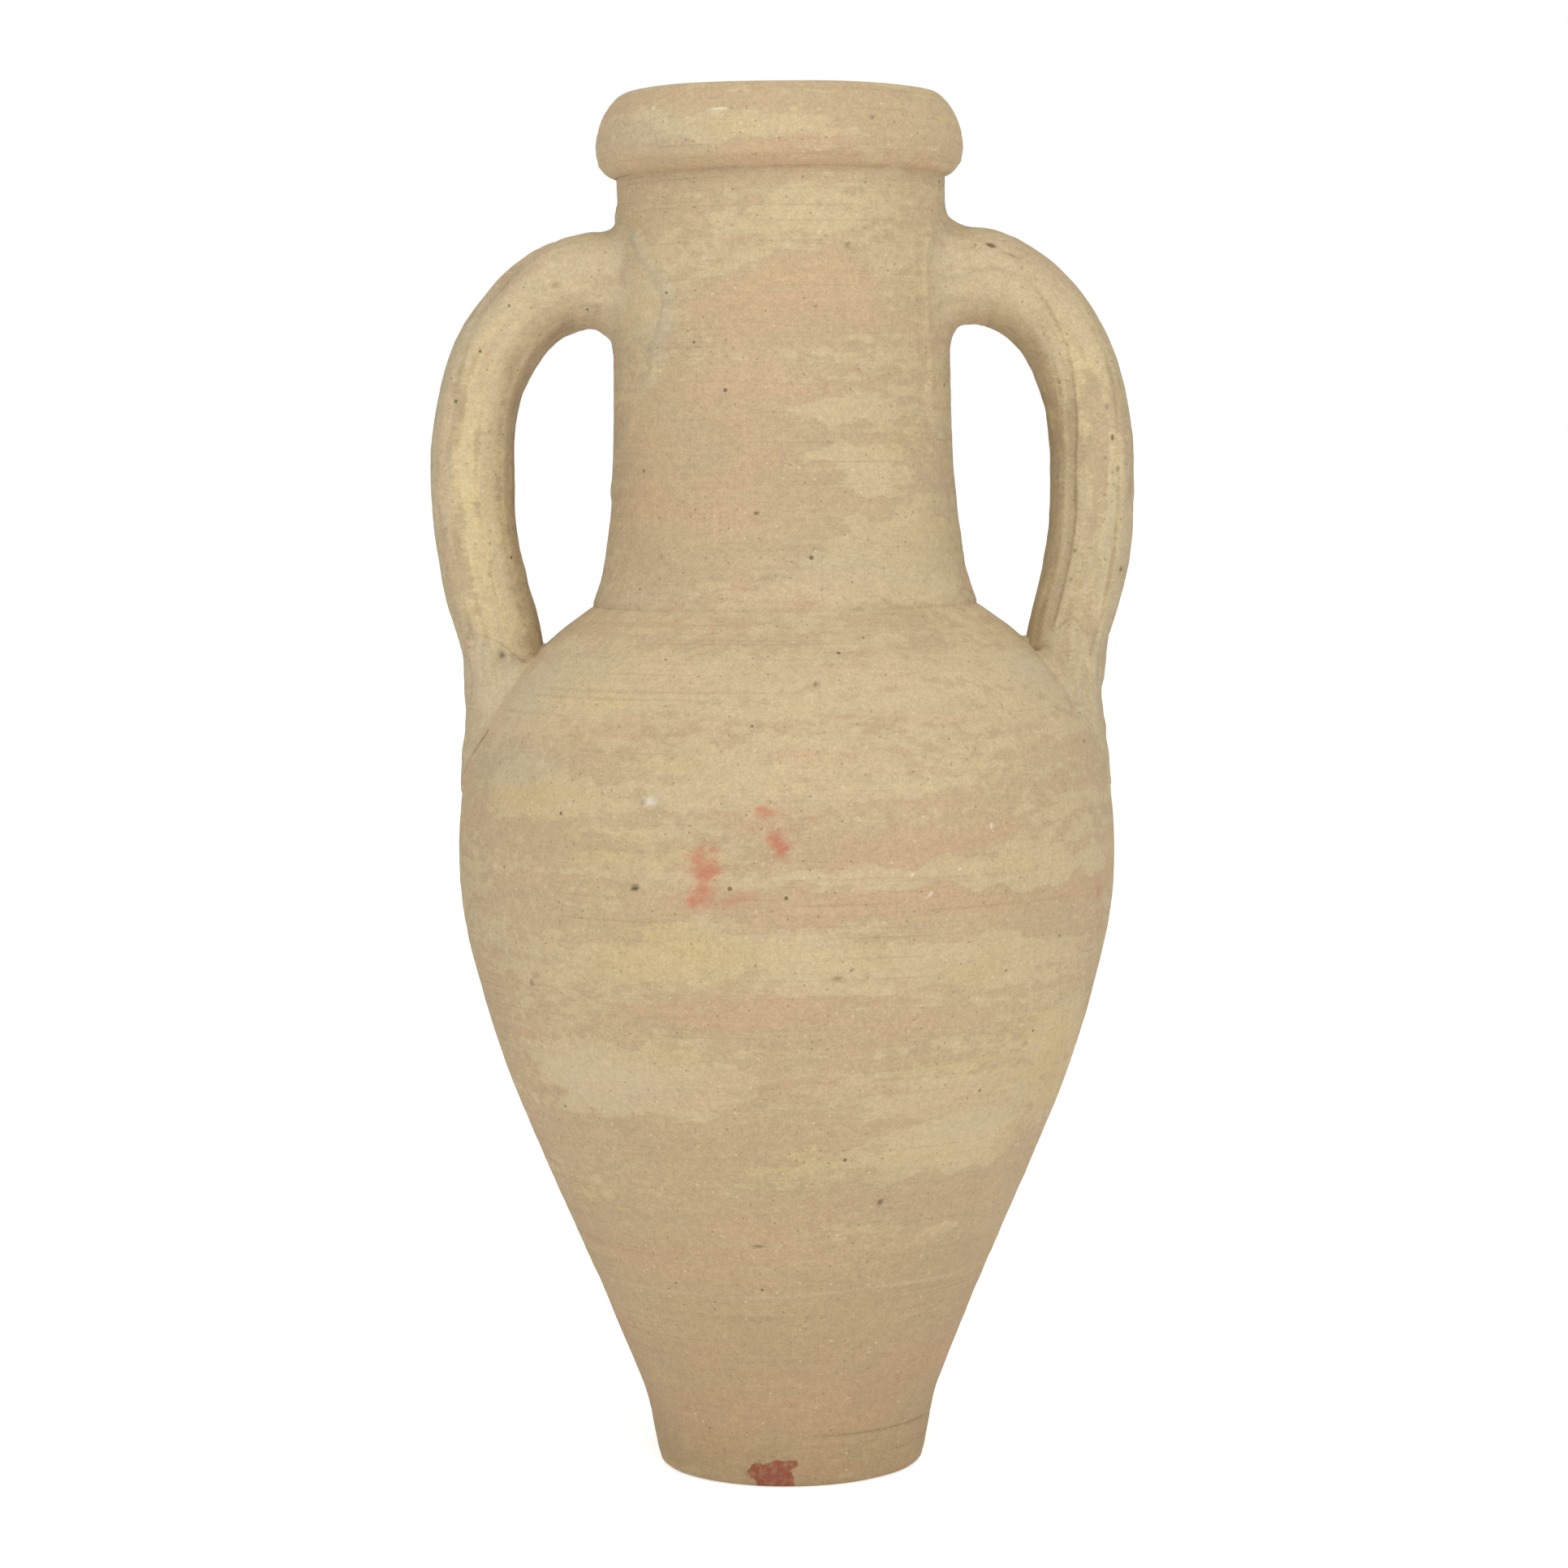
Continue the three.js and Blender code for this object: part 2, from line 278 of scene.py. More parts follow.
SLIP_PATCHES = [  # strength is how much thicker (+) or thinner (-) the slip lies
    (-14, 541.5, 44, 6.5, 1.4),
    (26, 549.0, 40, 4.0, -1.2),
    (-40, 552.0, 40, 3.0, -1.2),
    (34, 254.5, 84, 4.6, 2.2),  # the thick lower edge of the belly's coat
    (32, 243.0, 96, 5.4, -2.7),  # and the bare band under it
    (-18, 243.5, 22, 6.0, -1.4),
    (22, 264.0, 34, 5.5, -1.1),
    (38, 268.0, 16, 4.5, -0.9),
    (9, 268.0, 12, 3.0, -0.8),
    (-6, 224.0, 62, 11, 0.9),
    (38, 222.0, 56, 9, 1.1),
    (-4, 201.5, 34, 5.6, -1.7),
    (24, 196.0, 40, 5.0, -0.8),
    (-34, 172.0, 44, 13.5, 2.4),  # the flaked patch on the left of the cone
    (-16, 172.0, 20, 9.0, 1.3),
    (-36, 148.0, 62, 8.5, -1.6),
    (2, 155.0, 44, 7.0, -1.3),
    (38, 145.0, 27, 12.5, 2.3),  # and the one on its right
    (30, 164.0, 34, 5.0, 0.8),
    (40, 126.0, 46, 5.5, -1.6),
    (64, 186.0, 26, 14, 0.9),
    (22, 432.5, 24, 4.4, 2.3),
    (24, 412.0, 22, 3.4, 2.0),
    (33, 404.0, 15, 4.8, 1.9),
    (42, 376.0, 27, 17.0, 2.3),
    (32, 364.0, 40, 6.5, 1.9),
    (6, 440.0, 30, 8, -0.5),
    (-20, 420.0, 46, 26, -0.7),
    (2, 460.0, 40, 10, -0.5),
    (20, 396.0, 26, 3.0, -0.6),
    (-30, 392.0, 46, 28, -1.1),
    (-4, 478.0, 44, 13, -1.4),
    (8, 508.0, 44, 8.0, 0.9),
    (6, 290.0, 70, 14, 0.5),
    (0, 322.0, 600, 18, 0.45),
    (-48, 285.0, 34, 9, 0.9),
    (0, 66.0, 600, 62, -0.9),  # little slip reaches the foot
    (150, 150.0, 44, 13, 1.5),
    (-150, 142.0, 40, 12, 1.3),
    (170, 243.0, 120, 6.0, -1.6),
    (-165, 205.0, 60, 6.0, -1.2),
    (165, 395.0, 34, 14, 1.5),
    (-150, 470.0, 44, 14, -1.2),
]


FLAKED = [(-40, 172, 52, 17, 1.0), (40, 146, 34, 16, 1.0)]


def flaked_areas(points):
    """1 on the two places of the cone where the slip has come off in crumbs."""
    return many_spots(points, FLAKED, power=4)


def slip_cover(points):
    """How much slip lies on the wall: above 0 it covers the clay, and below 0 the clay is bare.

    It is a slow drift, long level streaks and a ragged part, with the patches added.
    """
    drift = rumple(points, (0.16, 0.16, 0.03), seed=11)
    streaks = rumple(points, (0.07, 0.07, 0.005), seed=12, waves=48)
    ragged = rumple(points, (0.011, 0.011, 0.005), seed=13, waves=60)
    wander = 2.2 * MM * rumple(points, (0.03, 0.03, 0.02), seed=14, waves=24)
    shifted = points + wander[..., None] * np.array([0, 0, 1.0])
    return (
        0.06
        + 0.24 * drift
        + 0.17 * streaks
        + 0.2 * ragged
        + many_spots(shifted, SLIP_PATCHES, power=4)
    )


def seam_lines(points):
    """Narrow grooves where two rings were luted: 1 along each line."""
    z = points[..., 2] / MM
    turn = angle_round(points)
    level = rumple(points, (0.11, 0.11, 0.11), seed=21, waves=16)
    neck = bell(z, SEAM / MM - 0.25 * level, 0.9)
    foot_line = 21.2 + 1.2 * level * ease(np.abs(turn - 40), 26, 60)
    foot = bell(z, foot_line, 0.7) * (0.25 + 0.75 * ease(turn, 4, 16) * ease(-turn, -84, -66))
    cone_line = 83.6 + 0.055 * turn * ease(turn, 0, 20) + 0.5 * level
    cone = bell(z, cone_line, 1.0) * (0.35 + 0.65 * ease(-np.abs(turn), -64, -48))
    return neck, foot, cone


HANDLE_SIDES = {"right": 1, "left": -1}


def handle_turn(points):
    """The angle away from the nearest handle's plane, in degrees, positive towards the front."""
    turn = angle_round(points)
    side = np.where(points[..., 0] < 0, -1, 1)
    return 90 - np.where(side < 0, -turn, turn), side


def smear(points):
    """The skin of clay wiped from each handle's root onto the neck, 1 where it is full.

    Its edge is a line of angle against height. The left one reaches further round.
    """
    away, side = handle_turn(points)
    z = points[..., 2] / MM
    heights = np.array([395.0, 418, 437, 452, 466, 474, 486, 496, 503, 508, 514])
    left_edge = np.array([8.0, 24, 37, 46, 50, 51, 45, 38, 30, 14, 4])
    right_edge = np.array([10.0, 26, 32, 33, 33, 33, 33, 32, 28, 16, 4])
    uneven = 1.2 * rumple(points, (0.02, 0.02, 0.02), seed=31, waves=20)
    limit = np.where(side < 0, np.interp(z, heights, left_edge), np.interp(z, heights, right_edge))
    front = limit + uneven - away
    back = 34 + 2 * uneven + away
    inner = np.minimum(front, back) * ease(z, 384, 430) * ease(-z, -522, -502)
    full = ease(inner, 0, 3.2)
    ridge = bell(inner, 2.6, 2.2) * ease(z, 420, 440) * ease(-z, -512, -500)
    return full, ridge, side


CRACK = (on_wall(-76.0, 304.5), on_wall(-83.5, 287.0))
WHEEL_PITCH = 8.4  # millimetres that the spiral on the wall climbs in a turn


def wall_relief(points):
    """How far the outer wall stands out from its smooth line, in metres, from all the marks."""
    z = points[..., 2] / MM
    turn = np.radians(angle_round(points))
    wobble = 0.38 * rumple(points, (0.24, 0.24, 0.3), seed=1, waves=18)
    depth = 0.5 + 0.5 * np.tanh(rumple(points, (0.2, 0.2, 0.05), seed=2, waves=18))
    phase = 0.9 * rumple(points, (0.3, 0.3, 0.09), seed=3, waves=18)
    rings = 0.045 * depth * np.cos(2 * math.pi * z / WHEEL_PITCH - turn + phase)
    wiped = 0.017 * rumple(points, (0.09, 0.09, 0.0042), seed=4, waves=44)
    lumps = 0.05 * rumple(points, (0.02, 0.02, 0.014), seed=5, waves=36)
    cover = slip_cover(points)
    skin = 0.13 * ease(cover, 0.15, 1.0)
    flaked = flaked_areas(points)
    crumbs = 0.11 * flaked * rumple(points, (0.0048, 0.0048, 0.0042), seed=6, waves=48)
    crumbs = crumbs + 0.3 * flaked * ease(cover, 0.3, 0.9)
    pits = many_spots(points, PITS, power=3)
    rims = 0.25 * many_spots(points, [(a, h, w * 1.9, t * 1.9, s) for a, h, w, t, s in PITS])
    dents = many_spots(points, DENTS)
    neck, foot, cone = seam_lines(points)
    full, ridge, side = smear(points)
    clay = np.where(side < 0, 1.0, 0.45)
    below_seam = 0.5 * bell(z, SEAM / MM - 4.5, 3.2)
    crack = scratch(points, *CRACK, half_width=0.9)
    total = wobble + rings + wiped + lumps + skin + crumbs
    total += rims - pits - dents - 0.4 * neck - 0.9 * foot + 0.5 * cone - 0.3 * below_seam
    total += clay * (1.1 * full + 0.8 * ridge) - 1.3 * crack
    return total * MM


print("marks:", len(PITS), "pits,", len(SLIP_PATCHES), "slip patches")

# %% [markdown]
# ## What the eye sees as colour
# Colour follows the same marks. Each mask below is worked out for any point of the pot
# and kept on the mesh as an attribute, so that it stays with the clay. The material
# then adds the grain that is finer than the mesh.
# The dirt and browning masks also carry painted shade.

# %% Masks for the colours of the wall
WARMTH = [  # strength is pinker (+) or more yellow (-)
    (-12, 476.0, 34, 10, 0.42),
    (70, 540.0, 30, 14, -0.4),
    (-42, 388.0, 44, 30, 0.25),
    (-20, 360.0, 50, 7, 0.5),
    (34, 243.5, 96, 6, 0.7),
    (22, 264.0, 36, 7, 0.55),
    (-6, 201.0, 34, 7, 0.55),
    (-24, 309.0, 50, 5, 0.5),
    (10, 312.0, 60, 3, 0.35),
    (-20, 290.0, 20, 4, 0.4),
    (-26, 232.0, 30, 13, -0.55),
    (-24, 262.0, 40, 12, -0.5),
    (38, 138.0, 30, 12, -0.7),
    (66, 170.0, 30, 26, -0.6),
    (60, 380.0, 30, 36, -0.25),
    (30, 420.0, 40, 6, -0.4),
    (-37.7, 320.3, 14, 7, -0.7),
    (0, 534.0, 600, 3.5, 0.3),
    (-8, 542.0, 40, 2.2, -0.3),
    (28, 547.0, 40, 3, -0.5),
    (0, 528.0, 600, 3.0, 0.5),
    (-80, 330.0, 30, 26, 0.35),
    (0, 24.0, 600, 30, 0.25),
]
GREY = [
    (-44, 541, 34, 7, 0.75),
    (10, 372, 44, 14, 0.3),
    (60, 390, 24, 34, 0.3),
    (-58, 293.0, 32, 8, 0.8),
    (-66, 318.0, 20, 12, 0.5),
    (-52, 334.0, 26, 7, 0.35),
    (-45, 357.0, 36, 5, 0.45),
    (70, 330.0, 30, 12, 0.35),
    (56, 372.0, 18, 14, 0.3),
    (-22.5, 281.0, 5, 6, -0.6),
    (-74.3, 275.5, 7, 2, 0.9),
]
REDS = [
    (-3.9, 279.9, 2.4, 2.0, 1.5),
    (-1.6, 271.0, 4.0, 8.5, 0.6),
    (-0.4, 265.0, 4.0, 4.0, 0.45),
    (-14.0, 259.0, 4.2, 6.0, 1.0),
    (-13.4, 262.0, 7.0, 9.5, 0.5),
    (-13.0, 258.0, 13.0, 14.0, 0.3),
    (-2.0, 271.0, 8.0, 14.0, 0.24),
    (-15.0, 244.6, 11.0, 3.0, 0.8),
    (-14.0, 251.0, 5.0, 5.0, 0.45),
    (-8.0, 247.6, 9.0, 2.8, 0.6),
    (2.0, 301.0, 10.0, 3.0, 0.24),
    (34.0, 268.0, 12.0, 4.0, 0.18),
    (67.5, 240.0, 3.2, 5.2, 0.8),
    (70.8, 226.0, 3.0, 9.0, 0.45),
    (73.0, 252.0, 2.4, 5.0, 0.4),
    (12.8, 314.0, 5.0, 1.0, 0.35),
    (13.0, 470.0, 6.0, 4.0, 0.22),
    (158.0, 262.0, 6.0, 5.0, 0.5),
]
CHALK = [
    (-22.6, 283.6, 2.6, 2.2, 0.6),
    (17.4, 255.3, 1.0, 0.7, 0.6),
    (23.1, 245.5, 1.3, 0.8, 0.5),
    (24.0, 247.0, 1.0, 0.7, 0.8),
    (35.9, 271.4, 1.2, 1.0, 0.8),
    (29.6, 256.0, 0.9, 0.7, 1.0),
    (20.6, 254.6, 1.0, 0.6, 0.9),
    (33.0, 252.8, 1.2, 0.9, 0.7),
    (-19.0, 548.8, 3.4, 0.5, 0.9),
    (-16.4, 549.0, 1.2, 0.5, 0.7),
    (-43.6, 550.6, 1.3, 1.0, 0.8),
    (-24.4, 282.8, 3.6, 3.0, 0.34),
    (-47.0, 236.0, 0.9, 3.0, 0.5),
    (-132.0, 300.0, 1.6, 1.2, 0.8),
    (148.0, 228.0, 1.4, 1.0, 0.9),
]


# The daub of brick clay on the foot, in degrees and millimetres.
DAUB_ANGLE, DAUB_RADIUS, DAUB_HALF_LONG, DAUB_TOP = -8.8, 54, 8.6, 10.4
# How much darker and browner the clay is made at heights in millimetres, most of all at the foot:
# partly the clay's own browning, partly painted shade on the lower body, where less light falls.
BROWNING_AND_SHADE_HEIGHTS = [0, 12, 26, 60, 110, 170, 230, 300, 345]
BROWNING_AND_SHADE_SHARES = [1.0, 0.92, 0.7, 0.56, 0.36, 0.24, 0.17, 0.12, 0]


def clay_masks(points):
    """Slip cover, warmth, grey smear, red stain, dirt with painted shade, chalk, and browning with
    painted shade for points on or near the wall.
    """
    z = points[..., 2] / MM
    turn = angle_round(points)
    slow = rumple(points, (0.13, 0.13, 0.028), seed=41, waves=24)
    fine = rumple(points, (0.05, 0.05, 0.006), seed=42, waves=40)
    ragged = rumple(points, (0.007, 0.007, 0.005), seed=43, waves=60)
    warmth = 0.28 * slow + 0.12 * fine + many_spots(points, WARMTH, power=3)
    full, ridge, side = smear(points)
    wide = np.sqrt(np.maximum(ridge, 0))
    away = np.abs(handle_turn(points)[0])
    band = wide * (side < 0) * ease(z, 440, 466)
    grey = 0.16 * np.clip(slow - 0.6, 0, 1) + many_spots(points, GREY, power=3)
    grey = grey + 1.4 * band + 0.18 * full * (0.5 + 0.5 * fine)
    grey = grey + 0.25 * ease(-away, -50, -20) * ease(z, 300, 330) * ease(-z, -350, -330)
    along = np.radians(turn - DAUB_ANGLE) * DAUB_RADIUS
    sides, top = DAUB_HALF_LONG - np.abs(along), DAUB_TOP - z + 0.12 * along
    daub = np.minimum(sides + 0.9 * ragged, top + 0.7 * ragged)
    red = many_spots(points, REDS) * (1 + 0.3 * ragged) + 0.5 * spot(points, -28, 0.5, 6, 1.6)
    neck, foot, cone = seam_lines(points)
    crack = scratch(points, *CRACK, half_width=1.1)
    broken = 0.5 + 0.5 * np.tanh(1.5 * fine)
    # Darker in the middle of each pit.
    deepest = [(a, h, 0.75 * w, 0.75 * t, s) for a, h, w, t, s in PITS]
    dirt = 0.95 * many_spots(points, deepest, power=3)
    dirt = dirt + 0.2 * neck * broken + 0.12 * foot + 0.2 * band
    # Painted shade along the foot's lower edge, where it stands on the floor.
    dirt = dirt + 0.5 * np.exp(-np.maximum(z, 0) / 1.4)
    # The crack is darkened, and a faint painted shadow lies in a thin band just under the rim.
    dirt = dirt + 1.3 * crack + 0.12 * bell(z, RIM_UNDERSIDE / MM - 0.4, 1.6)
    cover = slip_cover(points)
    flaked = flaked_areas(points) * ease(cover, 0.1, 0.7)
    chalk = many_spots(points, CHALK, power=4) + 0.26 * flaked + 0.3 * cone
    # Painted shade on the pot's flanks, fullest between about 84 and 115 degrees from the front and
    # below 250 mm, stronger on the left. It is added to the browning and painted shade by height, with
    # a little more on the neck.
    edge = ease(np.abs(turn), 52, 84) * ease(-np.abs(turn), -150, -115) * ease(-z, -320, -250)
    tan = np.interp(z, BROWNING_AND_SHADE_HEIGHTS, BROWNING_AND_SHADE_SHARES)
    tan = np.clip(tan + 0.1 * ease(z, 345, 380) + np.where(turn < 0, 0.36, 0.14) * edge, 0, 1)
    return {
        "slip": cover + 0.25 * full,
        "warmth": np.clip(warmth, -1, 1),
        "grey": np.clip(grey, 0, 1),
        "red": np.clip(red, 0, 1),
        "daub": np.clip(0.5 + daub / 8, 0, 1),
        "dirt": np.clip(dirt, 0, 1),
        "chalk": np.clip(chalk, 0, 1),
        "tan": tan,
    }


# %% [markdown]
# ## From a grid of points to a mesh
# Every piece is a grid: rows along a profile or a path, and columns round it. Joining
# the last row or column to the first closes it. An end that shrinks to a point gets a fan.


# %% A grid made into a mesh with its attributes
def grid_faces(rows, columns, wrap_rows, wrap_columns):
    """The four corners of each face between neighbouring rows and columns."""
    i = np.arange(rows if wrap_rows else rows - 1)[:, None]
    j = np.arange(columns if wrap_columns else columns - 1)[None, :]
    below, right = (i + 1) % rows, (j + 1) % columns
    corners = [i * columns + j, i * columns + right, below * columns + right, below * columns + j]
    return np.stack(np.broadcast_arrays(*corners), axis=-1).reshape(-1, 4)


def signed_volume(points, triangle_sets):
    """The volume inside closed faces: a sixth of the sum of each triangle's triple product."""
    total = 0.0
    for corners in triangle_sets:
        a, b, c = (points[corners[:, i]] for i in range(3))
        total += float((a * np.cross(b, c)).sum()) / 6
    return total


def make_piece(name, grid, masks, wrap_rows=True, caps=False, sharp=50):
    """A closed mesh from a grid whose columns go all the way round.

    With caps, the first and the last row are each closed by a fan to their middle point.
    The faces are turned round where the volume inside them would come out negative.
    """
    rows, columns = grid.shape[:2]
    points = grid.reshape(-1, 3)
    faces = grid_faces(rows, columns, wrap_rows, True)
    fans = np.empty((0, 3), int)
    values = {key: np.broadcast_to(v, (rows, columns)).reshape(-1) for key, v in masks.items()}
    if caps:
        middles = np.array([grid[0].mean(0), grid[-1].mean(0)])
        j = np.arange(columns)
        after = (j + 1) % columns
        last = (rows - 1) * columns
        first_fan = np.c_[np.full(columns, len(points)), after, j]
        last_fan = np.c_[np.full(columns, len(points) + 1), last + j, last + after]
        fans = np.vstack([first_fan, last_fan])
        points = np.vstack([points, middles])
        values = {k: np.r_[v, v[0], v[last]] for k, v in values.items()}
    if signed_volume(points, [faces[:, :3], faces[:, [0, 2, 3]], fans]) < 0:
        faces, fans = faces[:, ::-1], fans[:, ::-1]
    mesh = bpy.data.meshes.new(name)
    mesh.vertices.add(len(points))
    mesh.vertices.foreach_set("co", points.astype(np.float32).ravel())
    corners = np.r_[faces.ravel(), fans.ravel()].astype(np.int32)
    sizes = np.r_[np.full(len(faces), 4), np.full(len(fans), 3)]
    mesh.loops.add(len(corners))
    mesh.loops.foreach_set("vertex_index", corners)
    mesh.polygons.add(len(sizes))
    mesh.polygons.foreach_set("loop_start", np.r_[0, np.cumsum(sizes)[:-1]].astype(np.int32))
    mesh.update(calc_edges=True)
    mesh.validate()
    mesh.shade_smooth()
    mesh.set_sharp_from_angle(angle=math.radians(sharp))
    for key, value in values.items():
        attribute = mesh.attributes.new(key, "FLOAT", "POINT")
        attribute.data.foreach_set("value", value.astype(np.float32))
    piece = bpy.data.objects.new(name, mesh)
    bpy.context.scene.collection.objects.link(piece)
    print(f"{name}: {2 * len(faces) + len(fans)} triangles")
    return piece


def settle(piece, node, material):
    """The piece stands for its CAD node, moves with the body, and takes its finish from the slot."""
    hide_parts(node)
    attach(piece, "root")
    piece.data.materials.append(material)
    return piece


# %% [markdown]
# ## Fired clay as a material
# Unglazed earthenware is matt. Its look is all in small changes of colour: cream slip
# over sandier clay, level streaks from the wheel, fine dark and light grains, pores and
# red stains. One graph makes them all, and each kind of clay sets its own colours.


# %% A small helper for node graphs
class Graph:
    """Adds nodes to a material, and links or sets each input that it is given."""

    def __init__(self, name):
        self.material = bpy.data.materials.new(name)
        self.material.use_nodes = True
        self.tree = self.material.node_tree
        self.tree.nodes.clear()

    def add(self, kind, inputs, output=0, **settings):
        """A node of a kind. Inputs are given by name or number, as values or as sockets."""
        node = self.tree.nodes.new("ShaderNode" + kind)
        for key, value in settings.items():
            setattr(node, key, value)
        for key, value in inputs.items():
            if isinstance(value, bpy.types.NodeSocket):
                self.tree.links.new(value, node.inputs[key])
            else:
                node.inputs[key].default_value = value
        return node.outputs[output] if node.outputs else None

    def attribute(self, name):
        """A float attribute of the mesh."""
        return self.add("Attribute", {}, output="Fac", attribute_name=name)

    def sum(self, a, b, operation="ADD"):
        """Two numbers put together by an operation of the Math node."""
        return self.add("Math", {0: a, 1: b}, operation=operation)

    def times(self, a, b):
        """The product of two numbers."""
        return self.sum(a, b, "MULTIPLY")

    def between(self, value, low, high, to_low=0.0, to_high=1.0):
        """A smooth step of the value from low to high, as a number between two others."""
        inputs = {"Value": value, "From Min": low, "From Max": high}
        inputs.update({"To Min": to_low, "To Max": to_high})
        return self.add("MapRange", inputs, interpolation_type="SMOOTHSTEP")

    def mix(self, share, a, b, blend="MIX"):
        """Two colours mixed by a share."""
        inputs = {0: share, 6: a, 7: b}
        return self.add("Mix", inputs, output=2, data_type="RGBA", blend_type=blend)

    def stretched(self, coordinates, scale):
        """Coordinates scaled by a number along each axis."""
        return self.add("Mapping", {"Vector": coordinates, "Scale": scale})

    def noise(self, coordinates, scale, detail=3.0, roughness=0.55):
        """Noise in coordinates stretched by a scale per metre along each axis, 0.5 on average."""
        inputs = {"Vector": self.stretched(coordinates, scale), "Scale": 1.0}
        inputs.update({"Detail": detail, "Roughness": roughness})
        return self.add("TexNoise", inputs)

    def cells(self, coordinates, scale):
        """A pattern of cells: the distance from a cell's middle, and a number for each cell."""
        node = self.tree.nodes.new("ShaderNodeTexVoronoi")
        node.inputs["Scale"].default_value = scale
        self.tree.links.new(coordinates, node.inputs["Vector"])
        return node.outputs["Distance"], self.add("SeparateXYZ", {0: node.outputs["Color"]})


def paint(red, green, blue):
    """A colour from three screen values of 0 to 255, as the linear light that a shader takes."""
    values = [c / 255 for c in (red, green, blue)]
    return (*[c / 12.92 if c <= 0.04045 else ((c + 0.055) / 1.055) ** 2.4 for c in values], 1.0)


# %% The clay's graph
def fired_clay(name, body, blush, slip, straw, streaked="wheel", coarse=1.0):
    """Matt clay from four colours: the bare body, its pink part, the slip and its yellow part.

    Streaked says which way the wiping runs: level round the wheel, or along a strap.
    """
    g = Graph(name)
    place = g.add("TexCoord", {}, output="Object")
    if streaked == "wheel":
        run, long, fine, scored = place, (10, 10, 560), (40, 40, 2300), (7, 7, 720)
    else:
        run = g.add("Attribute", {}, output="Vector", attribute_name="strap_run")
        long, fine, scored = (16, 420, 1), (60, 1900, 1), (10, 620, 1)
    mottle = g.noise(place, (170, 170, 230), detail=4, roughness=0.65)
    streak = g.noise(run, long, detail=4, roughness=0.6)
    hair = g.noise(run, fine, detail=2)
    cloud = g.noise(place, (26, 26, 40), detail=5, roughness=0.6)
    torn = g.noise(place, (150, 150, 420), detail=6, roughness=0.68)
    zone = g.between(g.noise(place, (13, 13, 30), detail=2), 0.46, 0.6)
    cut = g.times(g.between(g.noise(run, scored, detail=1), 0.635, 0.7), zone)
    grain = g.noise(place, (1050,) * 3, detail=2, roughness=0.7)
    sand = g.noise(place, (430,) * 3, detail=3, roughness=0.6)

    # The slip's edge is the attribute's zero line, torn by the noise.
    tear = g.between(torn, 0.25, 0.75, -0.48, 0.48)
    cover = g.between(g.sum(g.attribute("slip"), tear), -0.34, 0.44)
    warm = g.sum(g.attribute("warmth"), g.between(cloud, 0.3, 0.7, -0.3, 0.3))
    pink = g.between(warm, -0.1, 1.15)
    yellow = g.between(warm, 0.0, -1.1)
    clay = g.mix(pink, paint(*body), paint(*blush))
    skin = g.mix(yellow, paint(*slip), paint(*straw))
    skin = g.mix(g.times(pink, 0.45), skin, paint(*blush))
    colour = g.mix(g.times(cover, 0.78), clay, skin)
    grey = g.times(g.attribute("grey"), g.between(streak, 0.3, 0.7, 0.55, 1.1))
    colour = g.mix(g.times(grey, 0.55), colour, paint(176, 168, 143))

    # Light and dark: streaks, clouds and grains multiply the colour a little.
    light = g.between(streak, 0.28, 0.72, 0.978, 1.018)
    for part, high, dark, bright in (
        (cloud, 0.7, 0.965, 1.03),
        (mottle, 0.7, 0.962, 1.03),
        (grain, 0.7, 1 - 0.1 * coarse, 1 + 0.08 * coarse),
        (sand, 0.75, 1 - 0.06 * coarse, 1 + 0.05 * coarse),
        (hair, 0.7, 0.985, 1.012),
    ):
        light = g.times(light, g.between(part, 0.3, high, dark, bright))
    shade = g.add("CombineXYZ", {0: light, 1: light, 2: light})
    colour = g.mix(1.0, colour, shade, blend="MULTIPLY")

    # Darker and browner towards the foot, on the pot's flanks and on a strap's outer and inner faces:
    # partly the clay's own browning, partly painted shade where less light falls.
    browned_and_shaded = g.mix(1.0, colour, (0.72, 0.68, 0.615, 1.0), blend="MULTIPLY")
    colour = g.mix(g.attribute("tan"), colour, browned_and_shaded)

    # Pores are small dark holes in some cells of a pattern, and specks fill some smaller cells.
    away, pick = g.cells(place, 92.0)
    size = g.between(pick, 0.45, 1.0, 0.0, 0.08)
    pore = g.between(g.sum(away, size, "SUBTRACT"), 0.012, -0.02)
    pore = g.times(pore, g.between(pick, 0.4, 0.52))
    away, pick = g.cells(place, 330.0)
    speck = g.times(g.between(away, 0.2, 0.1), g.between(pick, 0.74, 0.8))
    lime = g.times(g.between(away, 0.22, 0.12), g.between(pick, 0.14, 0.1))
    colour = g.mix(g.times(speck, 0.42), colour, paint(112, 86, 62))
    colour = g.mix(g.times(lime, 0.3), colour, paint(226, 212, 184))
    colour = g.mix(g.times(pore, 0.75), colour, paint(92, 74, 56))
    colour = g.mix(g.times(cut, 0.12), colour, paint(128, 102, 74))

    # Stains, dirt and painted shade.
    bleed = g.times(g.attribute("red"), g.between(mottle, 0.3, 0.7, 0.6, 1.25))
    colour = g.mix(g.between(bleed, 0.02, 1.5, 0.0, 0.78), colour, paint(178, 98, 76))
    brick = g.sum(g.attribute("daub"), g.between(torn, 0.3, 0.7, -0.12, 0.12))
    brick = g.times(g.between(brick, 0.46, 0.54), g.between(sand, 0.3, 0.6, 0.55, 0.92))
    colour = g.mix(brick, colour, paint(132, 66, 46))
    # The dirt mask darkens the colour, and it also carries painted shade at the foot's edge, under the
    # rim and in a strap's creases.
    dirt_and_shade_share = g.times(g.attribute("dirt"), g.between(sand, 0.3, 0.7, 0.6, 1.3))
    colour = g.mix(g.between(dirt_and_shade_share, 0.0, 1.0, 0.0, 0.85), colour, paint(92, 74, 58))
    colour = g.mix(g.between(g.attribute("chalk"), 0.1, 0.8, 0.0, 0.7), colour, paint(216, 207, 188))

